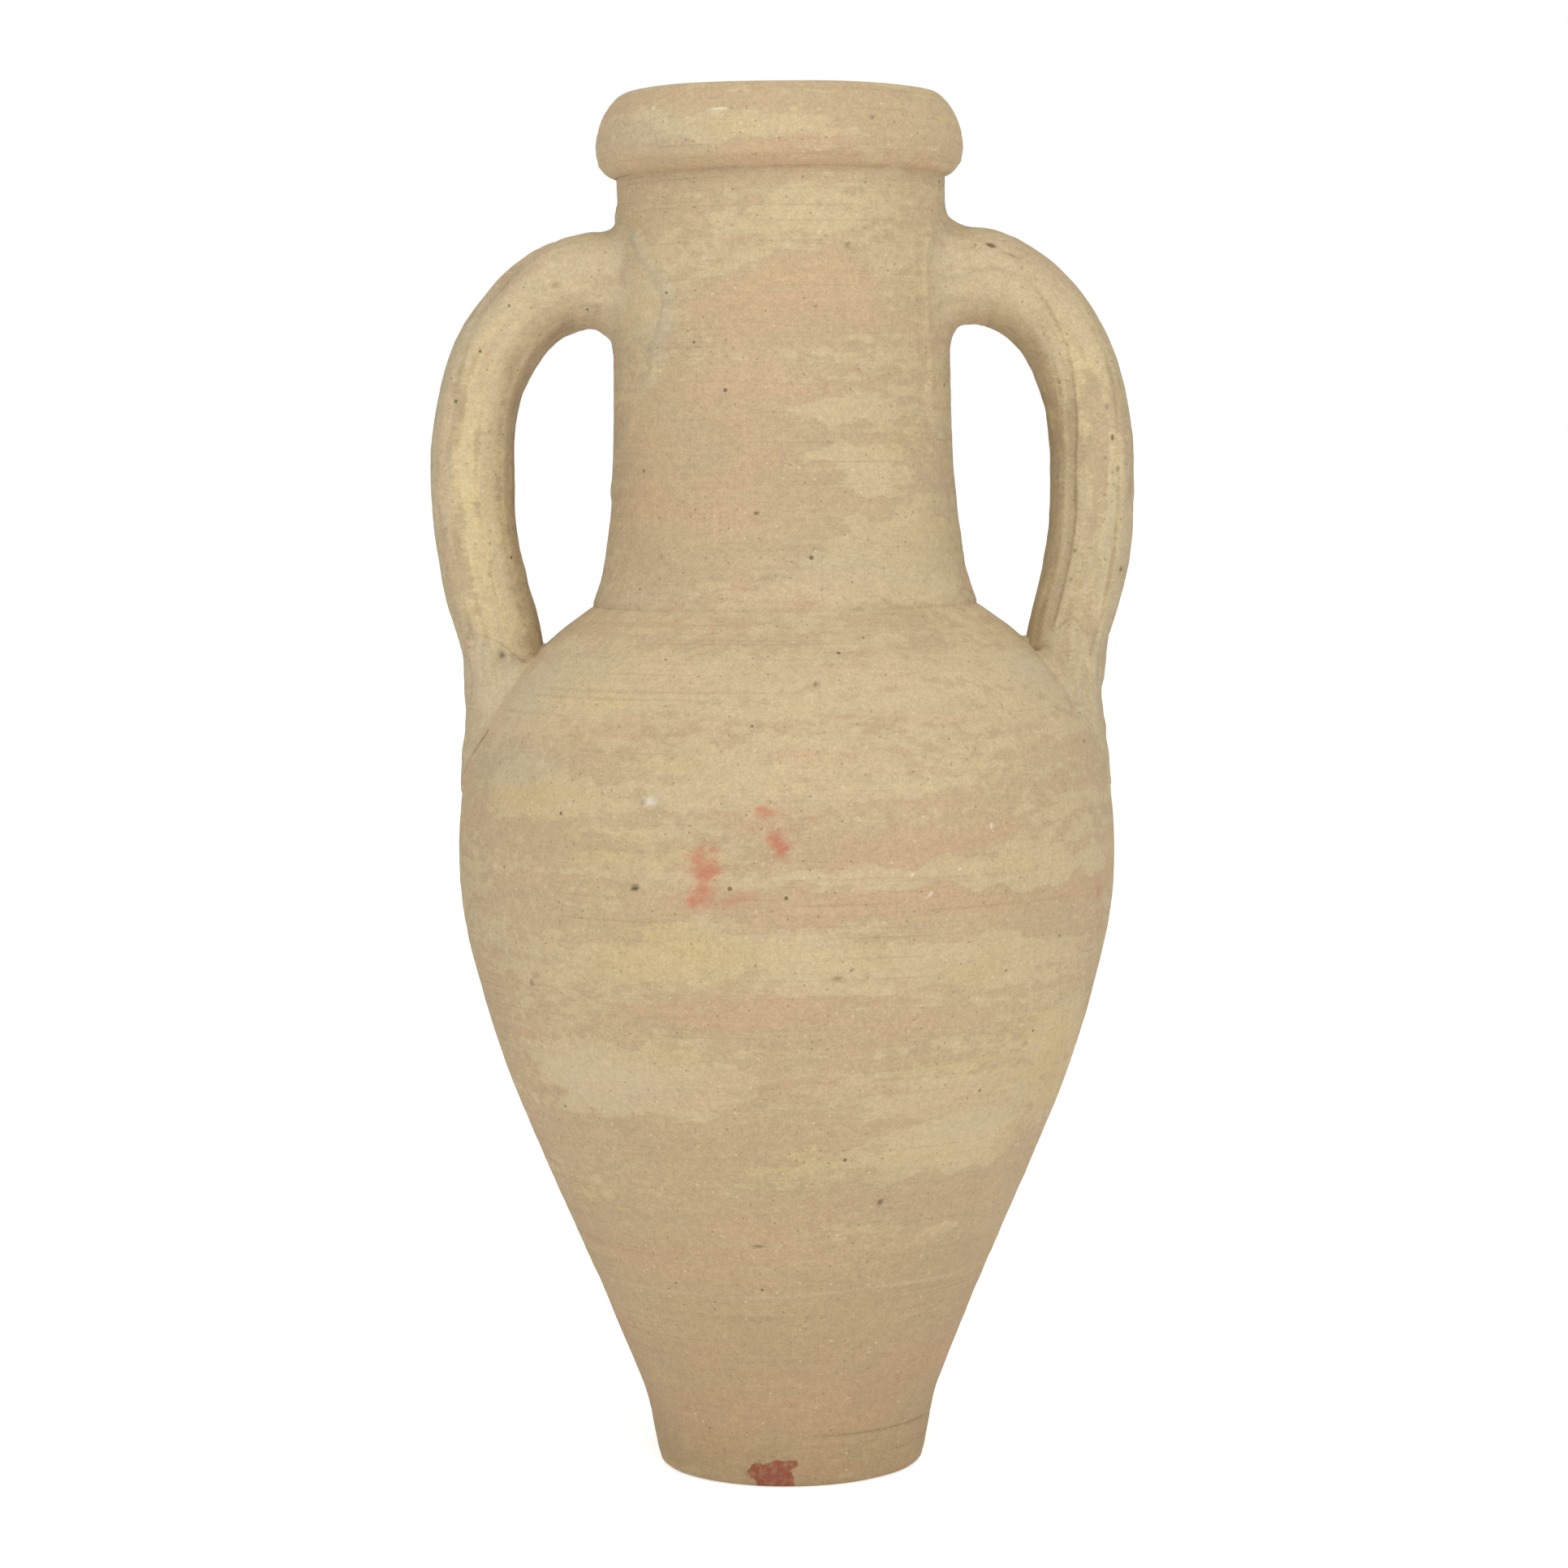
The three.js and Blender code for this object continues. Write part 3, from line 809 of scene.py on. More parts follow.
    # Relief finer than the mesh.
    height = g.times(g.between(streak, 0.25, 0.75), 0.22)
    raised = ((hair, 0.12), (grain, 0.34 * coarse), (sand, 0.35 * coarse), (torn, 0.3), (cover, 0.45))
    for part, share in (*raised, (pore, -1.4), (cut, -0.3), (speck, -0.4)):
        height = g.sum(height, g.times(part, share))
    bump = g.add("Bump", {"Height": height, "Strength": 0.6, "Distance": 0.0006})
    rough = g.sum(g.between(cover, 0.0, 1.0, 0.94, 0.84), g.between(grain, 0.3, 0.7, -0.03, 0.03))
    shader = g.add(
        "BsdfPrincipled",
        {"Base Color": colour, "Roughness": rough, "Normal": bump, "Specular IOR Level": 0.28},
    )
    g.add("OutputMaterial", {"Surface": shader})
    return g.material


THROWN = fired_clay(
    "thrown_clay",
    body=(183, 161, 127), blush=(187, 157, 124), slip=(192, 174, 137), straw=(194, 173, 128),
)
INNER = fired_clay(
    "inner_clay",
    body=(172, 147, 116), blush=(178, 146, 115), slip=(181, 160, 128), straw=(179, 158, 121),
    coarse=1.5,
)
HANDLE = fired_clay(
    "handle_clay",
    body=(180, 159, 126), blush=(182, 155, 125), slip=(190, 173, 137), straw=(205, 186, 141),
    streaked="strap",
)
LUTING = fired_clay(
    "luting_clay",
    body=(183, 162, 130), blush=(187, 158, 127), slip=(192, 175, 141), straw=(194, 174, 132),
    streaked="strap",
)

# %% [markdown]
# ## The thrown rings
# Each ring is one closed loop of profile turned round the axis: up the outside, over the
# slanting joint, down the inside and back. Only the outside rows carry the marks of the
# finished surface. The inside keeps the deeper spiral left by the potter's fingers.


# %% Turning a profile with relief
def turned(radius, height, columns):
    """Points of a profile turned round the axis, one row for each station."""
    turn = np.arange(columns) / columns * 2 * math.pi
    x = radius[:, None] * np.sin(turn)
    y = -radius[:, None] * np.cos(turn)
    z = np.broadcast_to(height[:, None], x.shape)
    return np.stack([x, y, z], axis=-1)


def pushed_out(points, distance):
    """Points moved away from the axis by a distance in metres."""
    radius = from_axis(points)
    share = 1 + distance / np.maximum(radius, 1e-6)
    return np.stack([points[..., 0] * share, points[..., 1] * share, points[..., 2]], axis=-1)


FINGER_PITCH = 11.5 * MM


def finger_spiral(points):
    """The spiral left by the potter's fingers inside, in metres: a wave that climbs as it turns."""
    turn = np.radians(angle_round(points))
    uneven = rumple(points, (0.12, 0.12, 0.05), seed=51, waves=20)
    wave = np.cos(2 * math.pi * points[..., 2] / FINGER_PITCH - turn + uneven)
    drag = rumple(points, (0.06, 0.06, 0.006), seed=52, waves=24)
    return (0.42 * wave * (0.7 + 0.3 * np.tanh(uneven)) + 0.1 * drag) * MM


def even_heights(low, high, spacing):
    """Heights from low to high whose points on the outer wall are about the spacing apart."""
    fine = np.linspace(low, high, 400)
    travelled = np.r_[0, np.cumsum(np.hypot(np.diff(outside(fine)), np.diff(fine)))]
    count = max(2, round(travelled[-1] / spacing) + 1)
    return np.interp(np.linspace(0, travelled[-1], count), travelled, fine)


MASKS = ("slip", "warmth", "grey", "red", "daub", "dirt", "chalk", "tan")


def blank_masks(shape, **given):
    """Masks of bare, clean clay, apart from the ones that are given."""
    masks = {key: np.zeros(shape) for key in MASKS}
    masks.update({key: np.broadcast_to(value, shape) for key, value in given.items()})
    return masks


def inner_masks(points):
    """Masks for clay inside the pot, with a little slip that ran down from the mouth."""
    drift = rumple(points, (0.08, 0.08, 0.04), seed=53, waves=24)
    runs = rumple(points, (0.02, 0.02, 0.12), seed=54, waves=32)
    return blank_masks(
        points.shape[:-1], slip=0.35 * drift + 0.25 * runs - 0.15, warmth=0.25 + 0.35 * drift,
        dirt=0.05 * np.clip(drift, 0, 1),
    )


def profile_piece(name, sections, columns, outer_rows, inner_rows, caps=False):
    """A turned piece from its profile. Outer rows get the wall's relief and inner rows the spiral."""
    profile = np.vstack(sections)
    grid = turned(profile[:, 0], profile[:, 1], columns)
    masks = inner_masks(grid)
    skin = grid[outer_rows]
    for key, value in clay_masks(skin).items():
        masks[key] = masks[key].copy()
        masks[key][outer_rows] = value
    grid[outer_rows] = pushed_out(skin, wall_relief(skin))
    grid[inner_rows] = pushed_out(grid[inner_rows], finger_spiral(grid[inner_rows]))
    return make_piece(name, grid, masks, wrap_rows=not caps, caps=caps)


JOINT_STATIONS = 3


def joint_face(start, end, count=JOINT_STATIONS):
    """Stations across a joint, between two that are already there."""
    share = np.linspace(0, 1, count + 2)[1:-1, None]
    return np.array(start) * (1 - share) + np.array(end) * share


def wall_ring(name, low, high, columns, spacing, inner_spacing=3.2 * MM):
    """A ring of the wall between two joints, each slanting up towards the inside."""
    z = even_heights(low, high, spacing)
    outer = np.c_[outside(z), z]
    back = even_heights(low, high, inner_spacing)[::-1] + SCARF
    inner = np.c_[inside(back), back]
    sections = [outer, joint_face(outer[-1], inner[0]), inner, joint_face(inner[-1], outer[0])]
    start = len(outer) + len(sections[1])
    outer_rows, inner_rows = slice(0, len(outer)), slice(start, start + len(inner))
    return profile_piece(name, sections, columns, outer_rows, inner_rows)


# Each ring's joints, its columns and the spacing of its rows.
RINGS = {
    "lower_body": (FOOT_JOINT, LOWER_JOINT, 420, 1.15 * MM),
    "middle_body": (LOWER_JOINT, BELLY_JOINT, 540, 1.5 * MM),
    "shoulder": (BELLY_JOINT, SEAM, 540, 1.15 * MM),
}
for node, (low, high, columns, spacing) in RINGS.items():
    settle(wall_ring(f"{node}_wall", low, high, columns, spacing), node, THROWN)

# %% [markdown]
# ## Foot, floor, neck and rim
# The foot ring is turned like the rest, but it goes under the pot, where its edge is
# rounded by wear. The floor is a disc with the arcs of the cutting wire beneath. The
# neck stands square under the collar, and the collar's own profile is read from its node.

# %% The foot ring and the floor
WORN = 3 * MM  # the radius to which the foot's edge is worn
floor_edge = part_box("base_floor")[1].x
foot_z = even_heights(WORN, FOOT_JOINT, 1.1 * MM)
foot_outer = np.c_[outside(foot_z), foot_z]
foot_low = foot_outer[0, 0]
foot_turn = np.radians(np.array([12, 28, 44, 62, 80]))
foot_edge = np.c_[foot_low - WORN * (1 - np.cos(foot_turn)), WORN * (1 - np.sin(foot_turn))]
foot_under = np.c_[np.linspace(floor_edge - 2.7 * MM, foot_low - WORN, 12), np.zeros(12)]
foot_back = np.linspace(FOOT_JOINT + SCARF, FLOOR_TOP, 10)
foot_inner = np.c_[inside(foot_back), foot_back]
foot_sections = [foot_under, foot_edge[::-1], foot_outer]
foot_sections += [joint_face(foot_outer[-1], foot_inner[0]), foot_inner]
first_outer = len(foot_under)
last_outer = first_outer + len(foot_edge) + len(foot_outer)
first_inner = last_outer + JOINT_STATIONS
foot = profile_piece(
    "foot_ring_wall", foot_sections, 420,
    slice(first_outer, last_outer),
    slice(first_inner, first_inner + len(foot_inner)),
)
settle(foot, "foot_ring", THROWN)

disc_edge = floor_edge - 0.1 * MM
top_radii = np.r_[0.6 * MM, np.linspace(2 * MM, disc_edge, 40)]
under_radii = top_radii[::-1] * (disc_edge - 3 * MM) / disc_edge
floor_grid = np.vstack([
    turned(top_radii, np.full(len(top_radii), FLOOR_TOP), 240),
    turned(under_radii, np.zeros(len(under_radii)), 240),
])
floor_rows = len(top_radii)
swirl_radius = from_axis(floor_grid)
swirl = np.cos(2 * math.pi * swirl_radius / (9 * MM) - np.radians(angle_round(floor_grid)))
floor_grid[:floor_rows, :, 2] += (0.5 * MM * swirl * ease(swirl_radius, 3 * MM, 12 * MM))[:floor_rows]
wire_from = floor_grid + np.array([0.06, 0.02, 0])
wire = np.cos(2 * math.pi * from_axis(wire_from) / (4.5 * MM))
floor_grid[floor_rows:, :, 2] += (0.12 * MM * (1 + wire))[floor_rows:]
floor_disc = make_piece(
    "floor_disc", floor_grid, inner_masks(floor_grid), wrap_rows=False, caps=True, sharp=40
)
settle(floor_disc, "base_floor", INNER)

# %% The neck, and the bead pressed into its joint
NECK_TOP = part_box("neck")[1].z
neck_z = even_heights(SEAM, NECK_TOP, 1.12 * MM)
neck_outer = np.c_[outside(neck_z), neck_z]
neck_back = np.linspace(NECK_TOP, SEAM + SCARF, 60)
neck_inner = np.c_[inside(neck_back), neck_back]
neck_sections = [neck_outer, joint_face(neck_outer[-1], neck_inner[0]), neck_inner]
neck_sections.append(joint_face(neck_inner[-1], neck_outer[0]))
neck_start = len(neck_outer) + JOINT_STATIONS
neck = profile_piece(
    "neck_wall", neck_sections, 400, slice(0, len(neck_outer)),
    slice(neck_start, neck_start + len(neck_inner)),
)
settle(neck, "neck", THROWN)

coil_low, coil_high = (corner.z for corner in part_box("neck_joint_coil"))
coil_share = np.linspace(0, 1, 14)
coil_z = coil_low + (coil_high - coil_low) * coil_share
coil_grid = turned(inside(coil_z) + 0.4 * MM, coil_z, 300)
presses = 1 + 0.28 * rumple(coil_grid, (0.018, 0.018, 0.05), seed=61, waves=24)
bulge = 4.6 * MM * np.sin(math.pi * coil_share)[:, None] * presses
coil_face = pushed_out(coil_grid, -bulge)
coil_back = turned(inside(coil_z[::-1]) + 1.4 * MM, coil_z[::-1], 300)
coil_all = np.vstack([coil_face, coil_back])
coil = make_piece("joint_bead", coil_all, inner_masks(coil_all))
settle(coil, "neck_joint_coil", INNER)

# %% The rim collar
collar = cad_points("rim_collar")
collar_pairs = np.unique(np.round(np.c_[np.hypot(collar[:, 0], collar[:, 1]), collar[:, 2]], 5), axis=0)
lap_radius = collar_pairs[collar_pairs[:, 1].argmin(), 0]
notch = np.hypot(collar_pairs[:, 0] - lap_radius, collar_pairs[:, 1] - NECK_TOP) < 1.5 * MM
collar_pairs = collar_pairs[~notch]
collar_inner, collar_top = collar_pairs[:, 0].min(), collar_pairs[:, 1].max()
collar_middle = np.array([(lap_radius + collar_inner) / 2 + 1 * MM, (NECK_TOP + collar_top) / 2])
collar_angle = np.arctan2(collar_pairs[:, 1] - collar_middle[1], collar_pairs[:, 0] - collar_middle[0])
collar_angle = (collar_angle + math.radians(88)) % (2 * math.pi)
collar_pairs = collar_pairs[np.argsort(collar_angle)]
steps = np.r_[True, np.linalg.norm(np.diff(collar_pairs, axis=0), axis=1) > 0.2 * MM]
collar_pairs = collar_pairs[steps]
collar_turn = np.r_[0, np.cumsum(np.linalg.norm(np.diff(collar_pairs, axis=0), axis=1))]
collar_at = np.linspace(0, collar_turn[-1], 60)
collar_line = smooth_through(collar_at, collar_turn, collar_pairs)
collar_back = joint_face(collar_line[-1], (lap_radius, NECK_TOP), 6)
collar_side = joint_face((lap_radius, NECK_TOP), collar_line[0], 10)
collar_profile = np.vstack([collar_line, collar_back, [(lap_radius, NECK_TOP)], collar_side])
collar_grid = turned(collar_profile[:, 0], collar_profile[:, 1], 480)
print("collar:", len(collar_pairs), "stations and", len(collar_profile), "rows")


def collar_relief(points):
    """How far the collar stands out, in metres: a slow wobble, a ridge low down and wheel lines."""
    z = points[..., 2] / MM
    wobble = 0.35 * rumple(points, (0.1, 0.1, 0.3), seed=71, waves=18)
    level = 0.7 * rumple(points, (0.12, 0.12, 0.3), seed=72, waves=12)
    ridge = 0.35 * bell(z, 531.8 + level, 1.1)
    groove = 0.18 * bell(z, 534.2 + level, 1.2)
    lines = 0.022 * rumple(points, (0.08, 0.08, 0.0024), seed=73, waves=40)
    crumbs = 0.07 * rumple(points, (0.008, 0.008, 0.004), seed=74, waves=48)
    return (wobble + ridge - groove + lines + crumbs) * MM


faces_out = ease(from_axis(collar_grid), 60 * MM, 66 * MM)
rim_masks = clay_masks(collar_grid)
inner_look = inner_masks(collar_grid)
rim_masks = {key: rim_masks[key] * faces_out + inner_look[key] * (1 - faces_out) for key in MASKS}
free = (np.arange(len(collar_profile)) < len(collar_line))[:, None]
relief = collar_relief(collar_grid) * free * (0.4 + 0.6 * faces_out)
collar_moved = pushed_out(collar_grid, relief)
uneven_top = 0.35 * MM * (rumple(collar_grid, (0.07, 0.07, 0.5), seed=75, waves=14) - 1)
collar_moved[..., 2] += uneven_top * ease(collar_grid[..., 2], 550 * MM, 559 * MM)
rim = make_piece("rim_band", collar_moved, rim_masks)
settle(rim, "rim_collar", THROWN)

# %% [markdown]
# ## The strap handles
# A handle was pulled from a lump of wet clay into a thick strap, bent, and pressed on.
# Its line is a curve in an upright plane, and its section a rounded oblong. A point on it
# is known by its length along the curve and its angle round the section.

# %% The strap's line and section
STRAP_LINE = MM * np.array([
    (55, 485.7), (69, 486.7), (83, 485.1), (95.3, 479.7), (105.9, 471), (114.9, 458.7),
    (122.1, 441.5), (125.8, 421.7), (126.4, 402), (125, 379.2), (121.5, 360.4), (116.9, 344.5),
    (114, 328.6), (113.4, 308.6), (112.4, 292), (106.5, 275), (94, 258),
])
SQUARENESS = 2.4
half_thick = 16.75 * MM
half_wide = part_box("right_handle")[1].y
chord = np.r_[0, np.cumsum(np.linalg.norm(np.diff(STRAP_LINE, axis=0), axis=1))]
line = smooth_through(np.linspace(0, chord[-1], 700), chord, STRAP_LINE)
line_length = np.r_[0, np.cumsum(np.linalg.norm(np.diff(line, axis=0), axis=1))]
line_run = np.gradient(line, line_length, axis=0)
line_run /= np.linalg.norm(line_run, axis=1, keepdims=True)
line_out = np.c_[-line_run[:, 1], line_run[:, 0]]


def along(length, values):
    """Values of the strap's line at lengths along it."""
    return np.stack([np.interp(length, line_length, column) for column in values.T], axis=-1)


def thickness(length):
    """Half the strap's thickness at a length: it swells by an eighth towards its root."""
    return half_thick * (1 + 0.13 * (1 - ease(length, 26 * MM, 66 * MM)))


def strap_surface(length, angle, inset=0.0):
    """The strap's skin: the centre of the section moved by u outward and by v to the front.

    u and v are the half thickness times the cosine and the half width times the sine, both
    drawn in until their powers add up to one, which rounds the oblong.
    """
    across, ahead = np.cos(angle), np.sin(angle)
    draw = (np.abs(across) ** SQUARENESS + np.abs(ahead) ** SQUARENESS) ** (-1 / SQUARENESS)
    u = thickness(length) * draw * across
    v = half_wide * draw * ahead
    size = np.hypot(u, v)
    u, v = u * (1 - inset / size), v * (1 - inset / size)
    length, u, v = np.broadcast_arrays(length, u, v)
    centre, out = along(length, line), along(length, line_out)
    return np.stack([centre[..., 0] + out[..., 0] * u, -v, centre[..., 1] + out[..., 1] * u], axis=-1)


def length_at(height):
    """The length along the strap at which its line comes down to a height in millimetres."""
    falling = np.argmax(line[:, 1])
    return float(np.interp(-height * MM, -line[falling:, 1], line_length[falling:]))


cad_strap = cad_points("right_handle")
outer_cad = cad_strap[np.abs(cad_strap[:, 1]) < 0.05 * MM]
nearest = np.linalg.norm(outer_cad[:, None, [0, 2]] - line[None], axis=-1).min(axis=1)
print("strap half thickness in the CAD:", (np.percentile(nearest, [5, 50, 95]) / MM).round(2))
print("strap length to its end:", round(length_at(337) / MM, 1), "mm")

# %% Marks on the straps
# Each crease: half width on its outer side and on its inner side, depth, and its path as
# lengths and angles. Lengths are in millimetres from the middle of the neck's wall, and
# angles in degrees from the outer face, positive towards the front.
CREASES = {
    "left": [
        (2.0, 2.6, 0.85, [40, 70, 100, 150, 185, 202], [36, 48, 60, 62, 57, 50]),
        (0.8, 0.9, 0.12, [46, 80, 120, 190], [52, 66, 74, 70]),
        (2.4, 1.8, 0.12, [60, 110, 196], [126, 134, 138]),
        (1.6, 2.4, 0.5, [50, 100, 190], [-52, -62, -56]),
        (2.0, 1.4, 0.3, [80, 130, 196], [-122, -130, -134]),
    ],
    "right": [
        (1.0, 3.6, 0.8, [12, 26, 44, 70, 90, 120, 196], [108, 84, 76, 97, 111, 121, 124]),
        (0.6, 0.8, 0.2, [52, 80, 112], [92, 114, 130]),
        (0.6, 0.7, 0.16, [52, 80, 112], [102, 126, 140]),
        (1.3, 1.8, 0.55, [70, 100, 150, 205], [44, 54, 60, 57]),
        (1.6, 2.4, 0.5, [50, 100, 190], [-54, -66, -60]),
        (1.0, 2.6, 0.5, [60, 100, 196], [-100, -116, -120]),
    ],
}
STRAP_PITS = {  # length, angle, half length, half width round, depth
    "left": [
        (36, 88, 1.8, 1.5, 0.7), (198, 92, 2.2, 2.0, 1.0), (92, 132, 1.0, 2.0, 0.6),
        (150, 70, 1.0, 1.0, 0.5),
    ],
    "right": [
        (27, 50, 2.0, 1.1, 1.1), (34, 54, 3.0, 0.7, 0.5), (88, 84, 1.6, 1.3, 0.6),
        (112, 66, 1.4, 1.1, 0.8),
    ],
}


def strap_spots(length, angle, rows):
    """The sum of soft spots on the strap's skin."""
    total = np.zeros(np.broadcast(length, angle).shape)
    for at, degrees, half_long, half_round, strength in rows:
        along_it = (length / MM - at) / half_long
        turn = half_turns(np.degrees(angle) - degrees)
        round_it = np.radians(turn) * half_wide / MM / half_round
        total = total + strength * np.exp(-(along_it**2 + round_it**2))
    return total


def unrolled(length, first, second):
    """Points whose three numbers are a length along the strap and two distances across it."""
    return np.stack(np.broadcast_arrays(length, first, second), axis=-1)


def strap_relief(length, angle, side):
    """How far a strap's skin stands out, in metres: lumps, pulling lines and its creases."""
    seed = 80 if side == "right" else 90
    degrees = half_turns(np.degrees(angle))
    u, v = np.cos(angle) * half_thick, np.sin(angle) * half_wide
    run = unrolled(length, u, v)
    lumps = 0.3 * rumple(run, (0.05, 0.03, 0.03), seed=seed, waves=24)
    pulled = 0.11 * rumple(run, (0.12, 0.0055, 0.0055), seed=seed + 1, waves=48)
    dimples = 0.1 * rumple(run, (0.012, 0.01, 0.01), seed=seed + 2, waves=40)
    wander = 2.2 * rumple(unrolled(length, 0, 0), (0.05,) * 3, seed=seed + 3, waves=12)
    total = lumps + pulled + dimples
    for outer_half, inner_half, depth, lengths, angles in CREASES[side]:
        middle = np.interp(length / MM, lengths, angles) + wander
        away = np.radians(degrees - middle) * half_wide / MM * np.sign(angles[0])
        fade = ease(length / MM, lengths[0], lengths[0] + 14)
        fade = fade * ease(-length / MM, -lengths[-1], -lengths[-1] + 10)
        half_width = np.where(away > 0, inner_half, outer_half)
        total = total - fade * depth * bell(away, 0, half_width)
        total = total + fade * 0.3 * depth * bell(away, -2.2 * outer_half, outer_half)
    return (total - strap_spots(length, angle, STRAP_PITS[side])) * MM


STRAP_STAINS = {  # length, angle, half length, half width round, strength of red
    "left": [(74, 84, 8, 1.2, 0.45), (186, 100, 3, 2, 0.3)],
    "right": [(96, 62, 12, 1.0, 0.4), (150, 96, 3, 2.0, 0.3)],
}
STRAP_DIRT = {
    "left": [
        (36, 88, 1.6, 1.3, 0.6), (120, 30, 1.2, 1.0, 0.5), (160, 110, 1.4, 1.0, 0.5),
        (198, 92, 1.6, 1.5, 0.8), (188, 46, 1, 1, 0.5), (192, 70, 1, 1, 0.5),
    ],
    "right": [
        (27, 50, 1.8, 0.9, 0.8), (34, 54, 2.8, 0.5, 0.35), (72, 92, 1.0, 0.8, 0.6),
        (100, 68, 1.3, 1.2, 0.6), (112, 66, 1.2, 1.0, 0.9), (124, 60, 1.0, 1.2, 0.8),
        (158, 113, 1.0, 1.0, 0.8), (170, 111, 1.0, 1.0, 0.8), (162, 42, 1.2, 1.2, 0.9),
    ],
}
STRAP_WARMTH = {  # pinker (+) or more yellow (-)
    "left": [
        (140, 90, 80, 12, -1.2), (120, 50, 60, 4.0, 0.9), (60, 46, 26, 6, 0.4), (60, 70, 26, 8, -0.5),
    ],
    "right": [
        (110, 84, 50, 7, -0.9), (180, 84, 26, 8, 0.2), (150, 58, 60, 1.8, -1.0), (40, 60, 16, 10, 0.3),
    ],
}
STRAP_GREY = {
    "left": [(120, 30, 90, 8, 0.6), (100, 150, 60, 8, 0.25), (70, 40, 24, 5, 0.5)],
    "right": [(150, 36, 70, 7, 0.5), (120, 150, 60, 10, 0.2), (140, 84, 36, 8, 0.45)],
}


def strap_masks(points, length, angle, side):
    """The colour masks of a strap and its wads, with the way that its streaks run."""
    seed = 100 if side == "right" else 110
    slow = rumple(points, (0.07, 0.07, 0.07), seed=seed, waves=24)
    ragged = rumple(points, (0.012, 0.012, 0.02), seed=seed + 1, waves=48)
    run = unrolled(length, np.cos(angle) * half_thick, np.sin(angle) * half_wide)
    streaks = rumple(run, (0.1, 0.005, 0.005), seed=seed + 2, waves=48)
    warmth = 0.25 * slow + 0.2 * streaks + strap_spots(length, angle, STRAP_WARMTH[side])
    smoky = 0.04 + 0.12 * streaks + strap_spots(length, angle, STRAP_GREY[side])
    relief = strap_relief(length, angle, side) / MM
    # Painted shade in a strap's creases, which goes into the dirt mask.
    crease_shade = ease(-relief, 0.25, 0.8)
    return blank_masks(
        slow.shape,
        slip=0.45 + 0.3 * slow + 0.3 * streaks + 0.2 * ragged,
        warmth=np.clip(warmth, -1, 1),
        grey=np.clip(smoky, 0, 1),
        red=np.clip(strap_spots(length, angle, STRAP_STAINS[side]) * (1 + 0.3 * ragged), 0, 1),
        dirt=np.clip(0.28 * crease_shade + strap_spots(length, angle, STRAP_DIRT[side]), 0, 1),
        # Painted shade on a strap's outer and inner faces, over a slight even browning.
        tan=0.04 + 0.4 * ease(np.cos(angle), 0.3, 1.0) + 0.2 * ease(-np.cos(angle), 0.3, 1.0),
    )


def strap_run(name, piece, length, angle):
    """Keeps on the mesh how far each point is along the strap and round it, for the streaks."""
    flat = unrolled(length, half_wide * np.sin(angle), half_thick * np.cos(angle)).reshape(-1, 3)
    extra = len(piece.data.vertices) - len(flat)
    flat = np.vstack([flat, np.repeat(flat[:1], extra, axis=0)])
    attribute = piece.data.attributes.new(name, "FLOAT_VECTOR", "POINT")
    attribute.data.foreach_set("vector", flat.astype(np.float32).ravel())


# %% The strap's two ends, and the strap itself
ROOT_STATION = 36 * MM  # where the root's wad ends and the bare strap begins
END_HEIGHT = 336.5  # millimetres above the floor
STRAP_COLUMNS = 240
ROUND_STRAP = np.arange(STRAP_COLUMNS) / STRAP_COLUMNS * 2 * math.pi


def strap_end(angle, side):
    """The length at which the strap stops, round its section: low inside, high outside, in lobes."""
    degrees = half_turns(np.degrees(angle))
    slant = 8.5 * np.cos(angle)
    if side == "left":
        lobes = 3.2 * bell(degrees, 138, 18) - 7.0 * bell(degrees, 64, 42)
    else:
        lobes = 3.6 * bell(degrees, 66, 20) - 3.0 * bell(degrees, 98, 18)
        lobes = lobes + 2.6 * bell(degrees, 132, 22) - 10.5 * bell(degrees, 96, 56)
    lobes = lobes + 1.8 * bell(degrees, -70, 26) - 1.8 * bell(degrees, -118, 22)
    lobes = lobes + 0.25 * np.sin(9 * angle + 2)
    return length_at(END_HEIGHT) + (lobes - slant) * MM


def lip_softness(angle, side):
    """How far the strap's end was wiped smooth: 1 where no lip is left."""
    degrees = half_turns(np.degrees(angle))
    kept = {"left": 0.8, "right": 0.5}[side] * bell(degrees, 112, 48)
    return 1 - kept - 0.5 * bell(degrees, -112, 40)


def mirrored(points, side):
    """Points of a right-hand handle, or the same points on the left."""
    return points * np.array([HANDLE_SIDES[side], 1, 1])


def strap_piece(side):
    """The strap between its root and its lobed end, whose lip is rounded over and closed."""
    angle = ROUND_STRAP
    stop = strap_end(angle, side)
    share = np.r_[0, 0, np.linspace(0, 1, 190)]
    length = ROOT_STATION - 2 * MM + share[:, None] * (stop - ROOT_STATION + 2 * MM)
    lip = np.linspace(0, 1, 6)[1:, None]
    soft = 2.0 + 2.4 * lip_softness(angle, side)
    lip_length = stop + soft * MM * lip
    lip_inset = 1.9 * MM * lip**2
    length = np.vstack([length, lip_length, lip_length[-1:]])
    inset = 0.3 * MM * (1 - ease(length, ROOT_STATION - 2 * MM, ROOT_STATION + 2 * MM))
    inset[:2] = np.array([[8], [2.2]]) * MM
    inset[-6:-1] += lip_inset
    inset[-1:] += 6 * MM
    relief = strap_relief(length, angle[None, :], side)
    near_end = ease(length - stop + 9 * MM, 0, 9 * MM) * 0.25 * MM * (1 - lip_softness(angle, side))
    points = strap_surface(length, angle[None, :], inset - relief - near_end)
    points = mirrored(points, side)
    masks = strap_masks(points, length, angle[None, :], side)
    piece = make_piece(f"{side}_strap", points, masks, wrap_rows=False, caps=True)
    strap_run("strap_run", piece, length, angle[None, :])
    return piece


for side in HANDLE_SIDES:
    settle(strap_piece(side), f"{side}_handle", HANDLE)

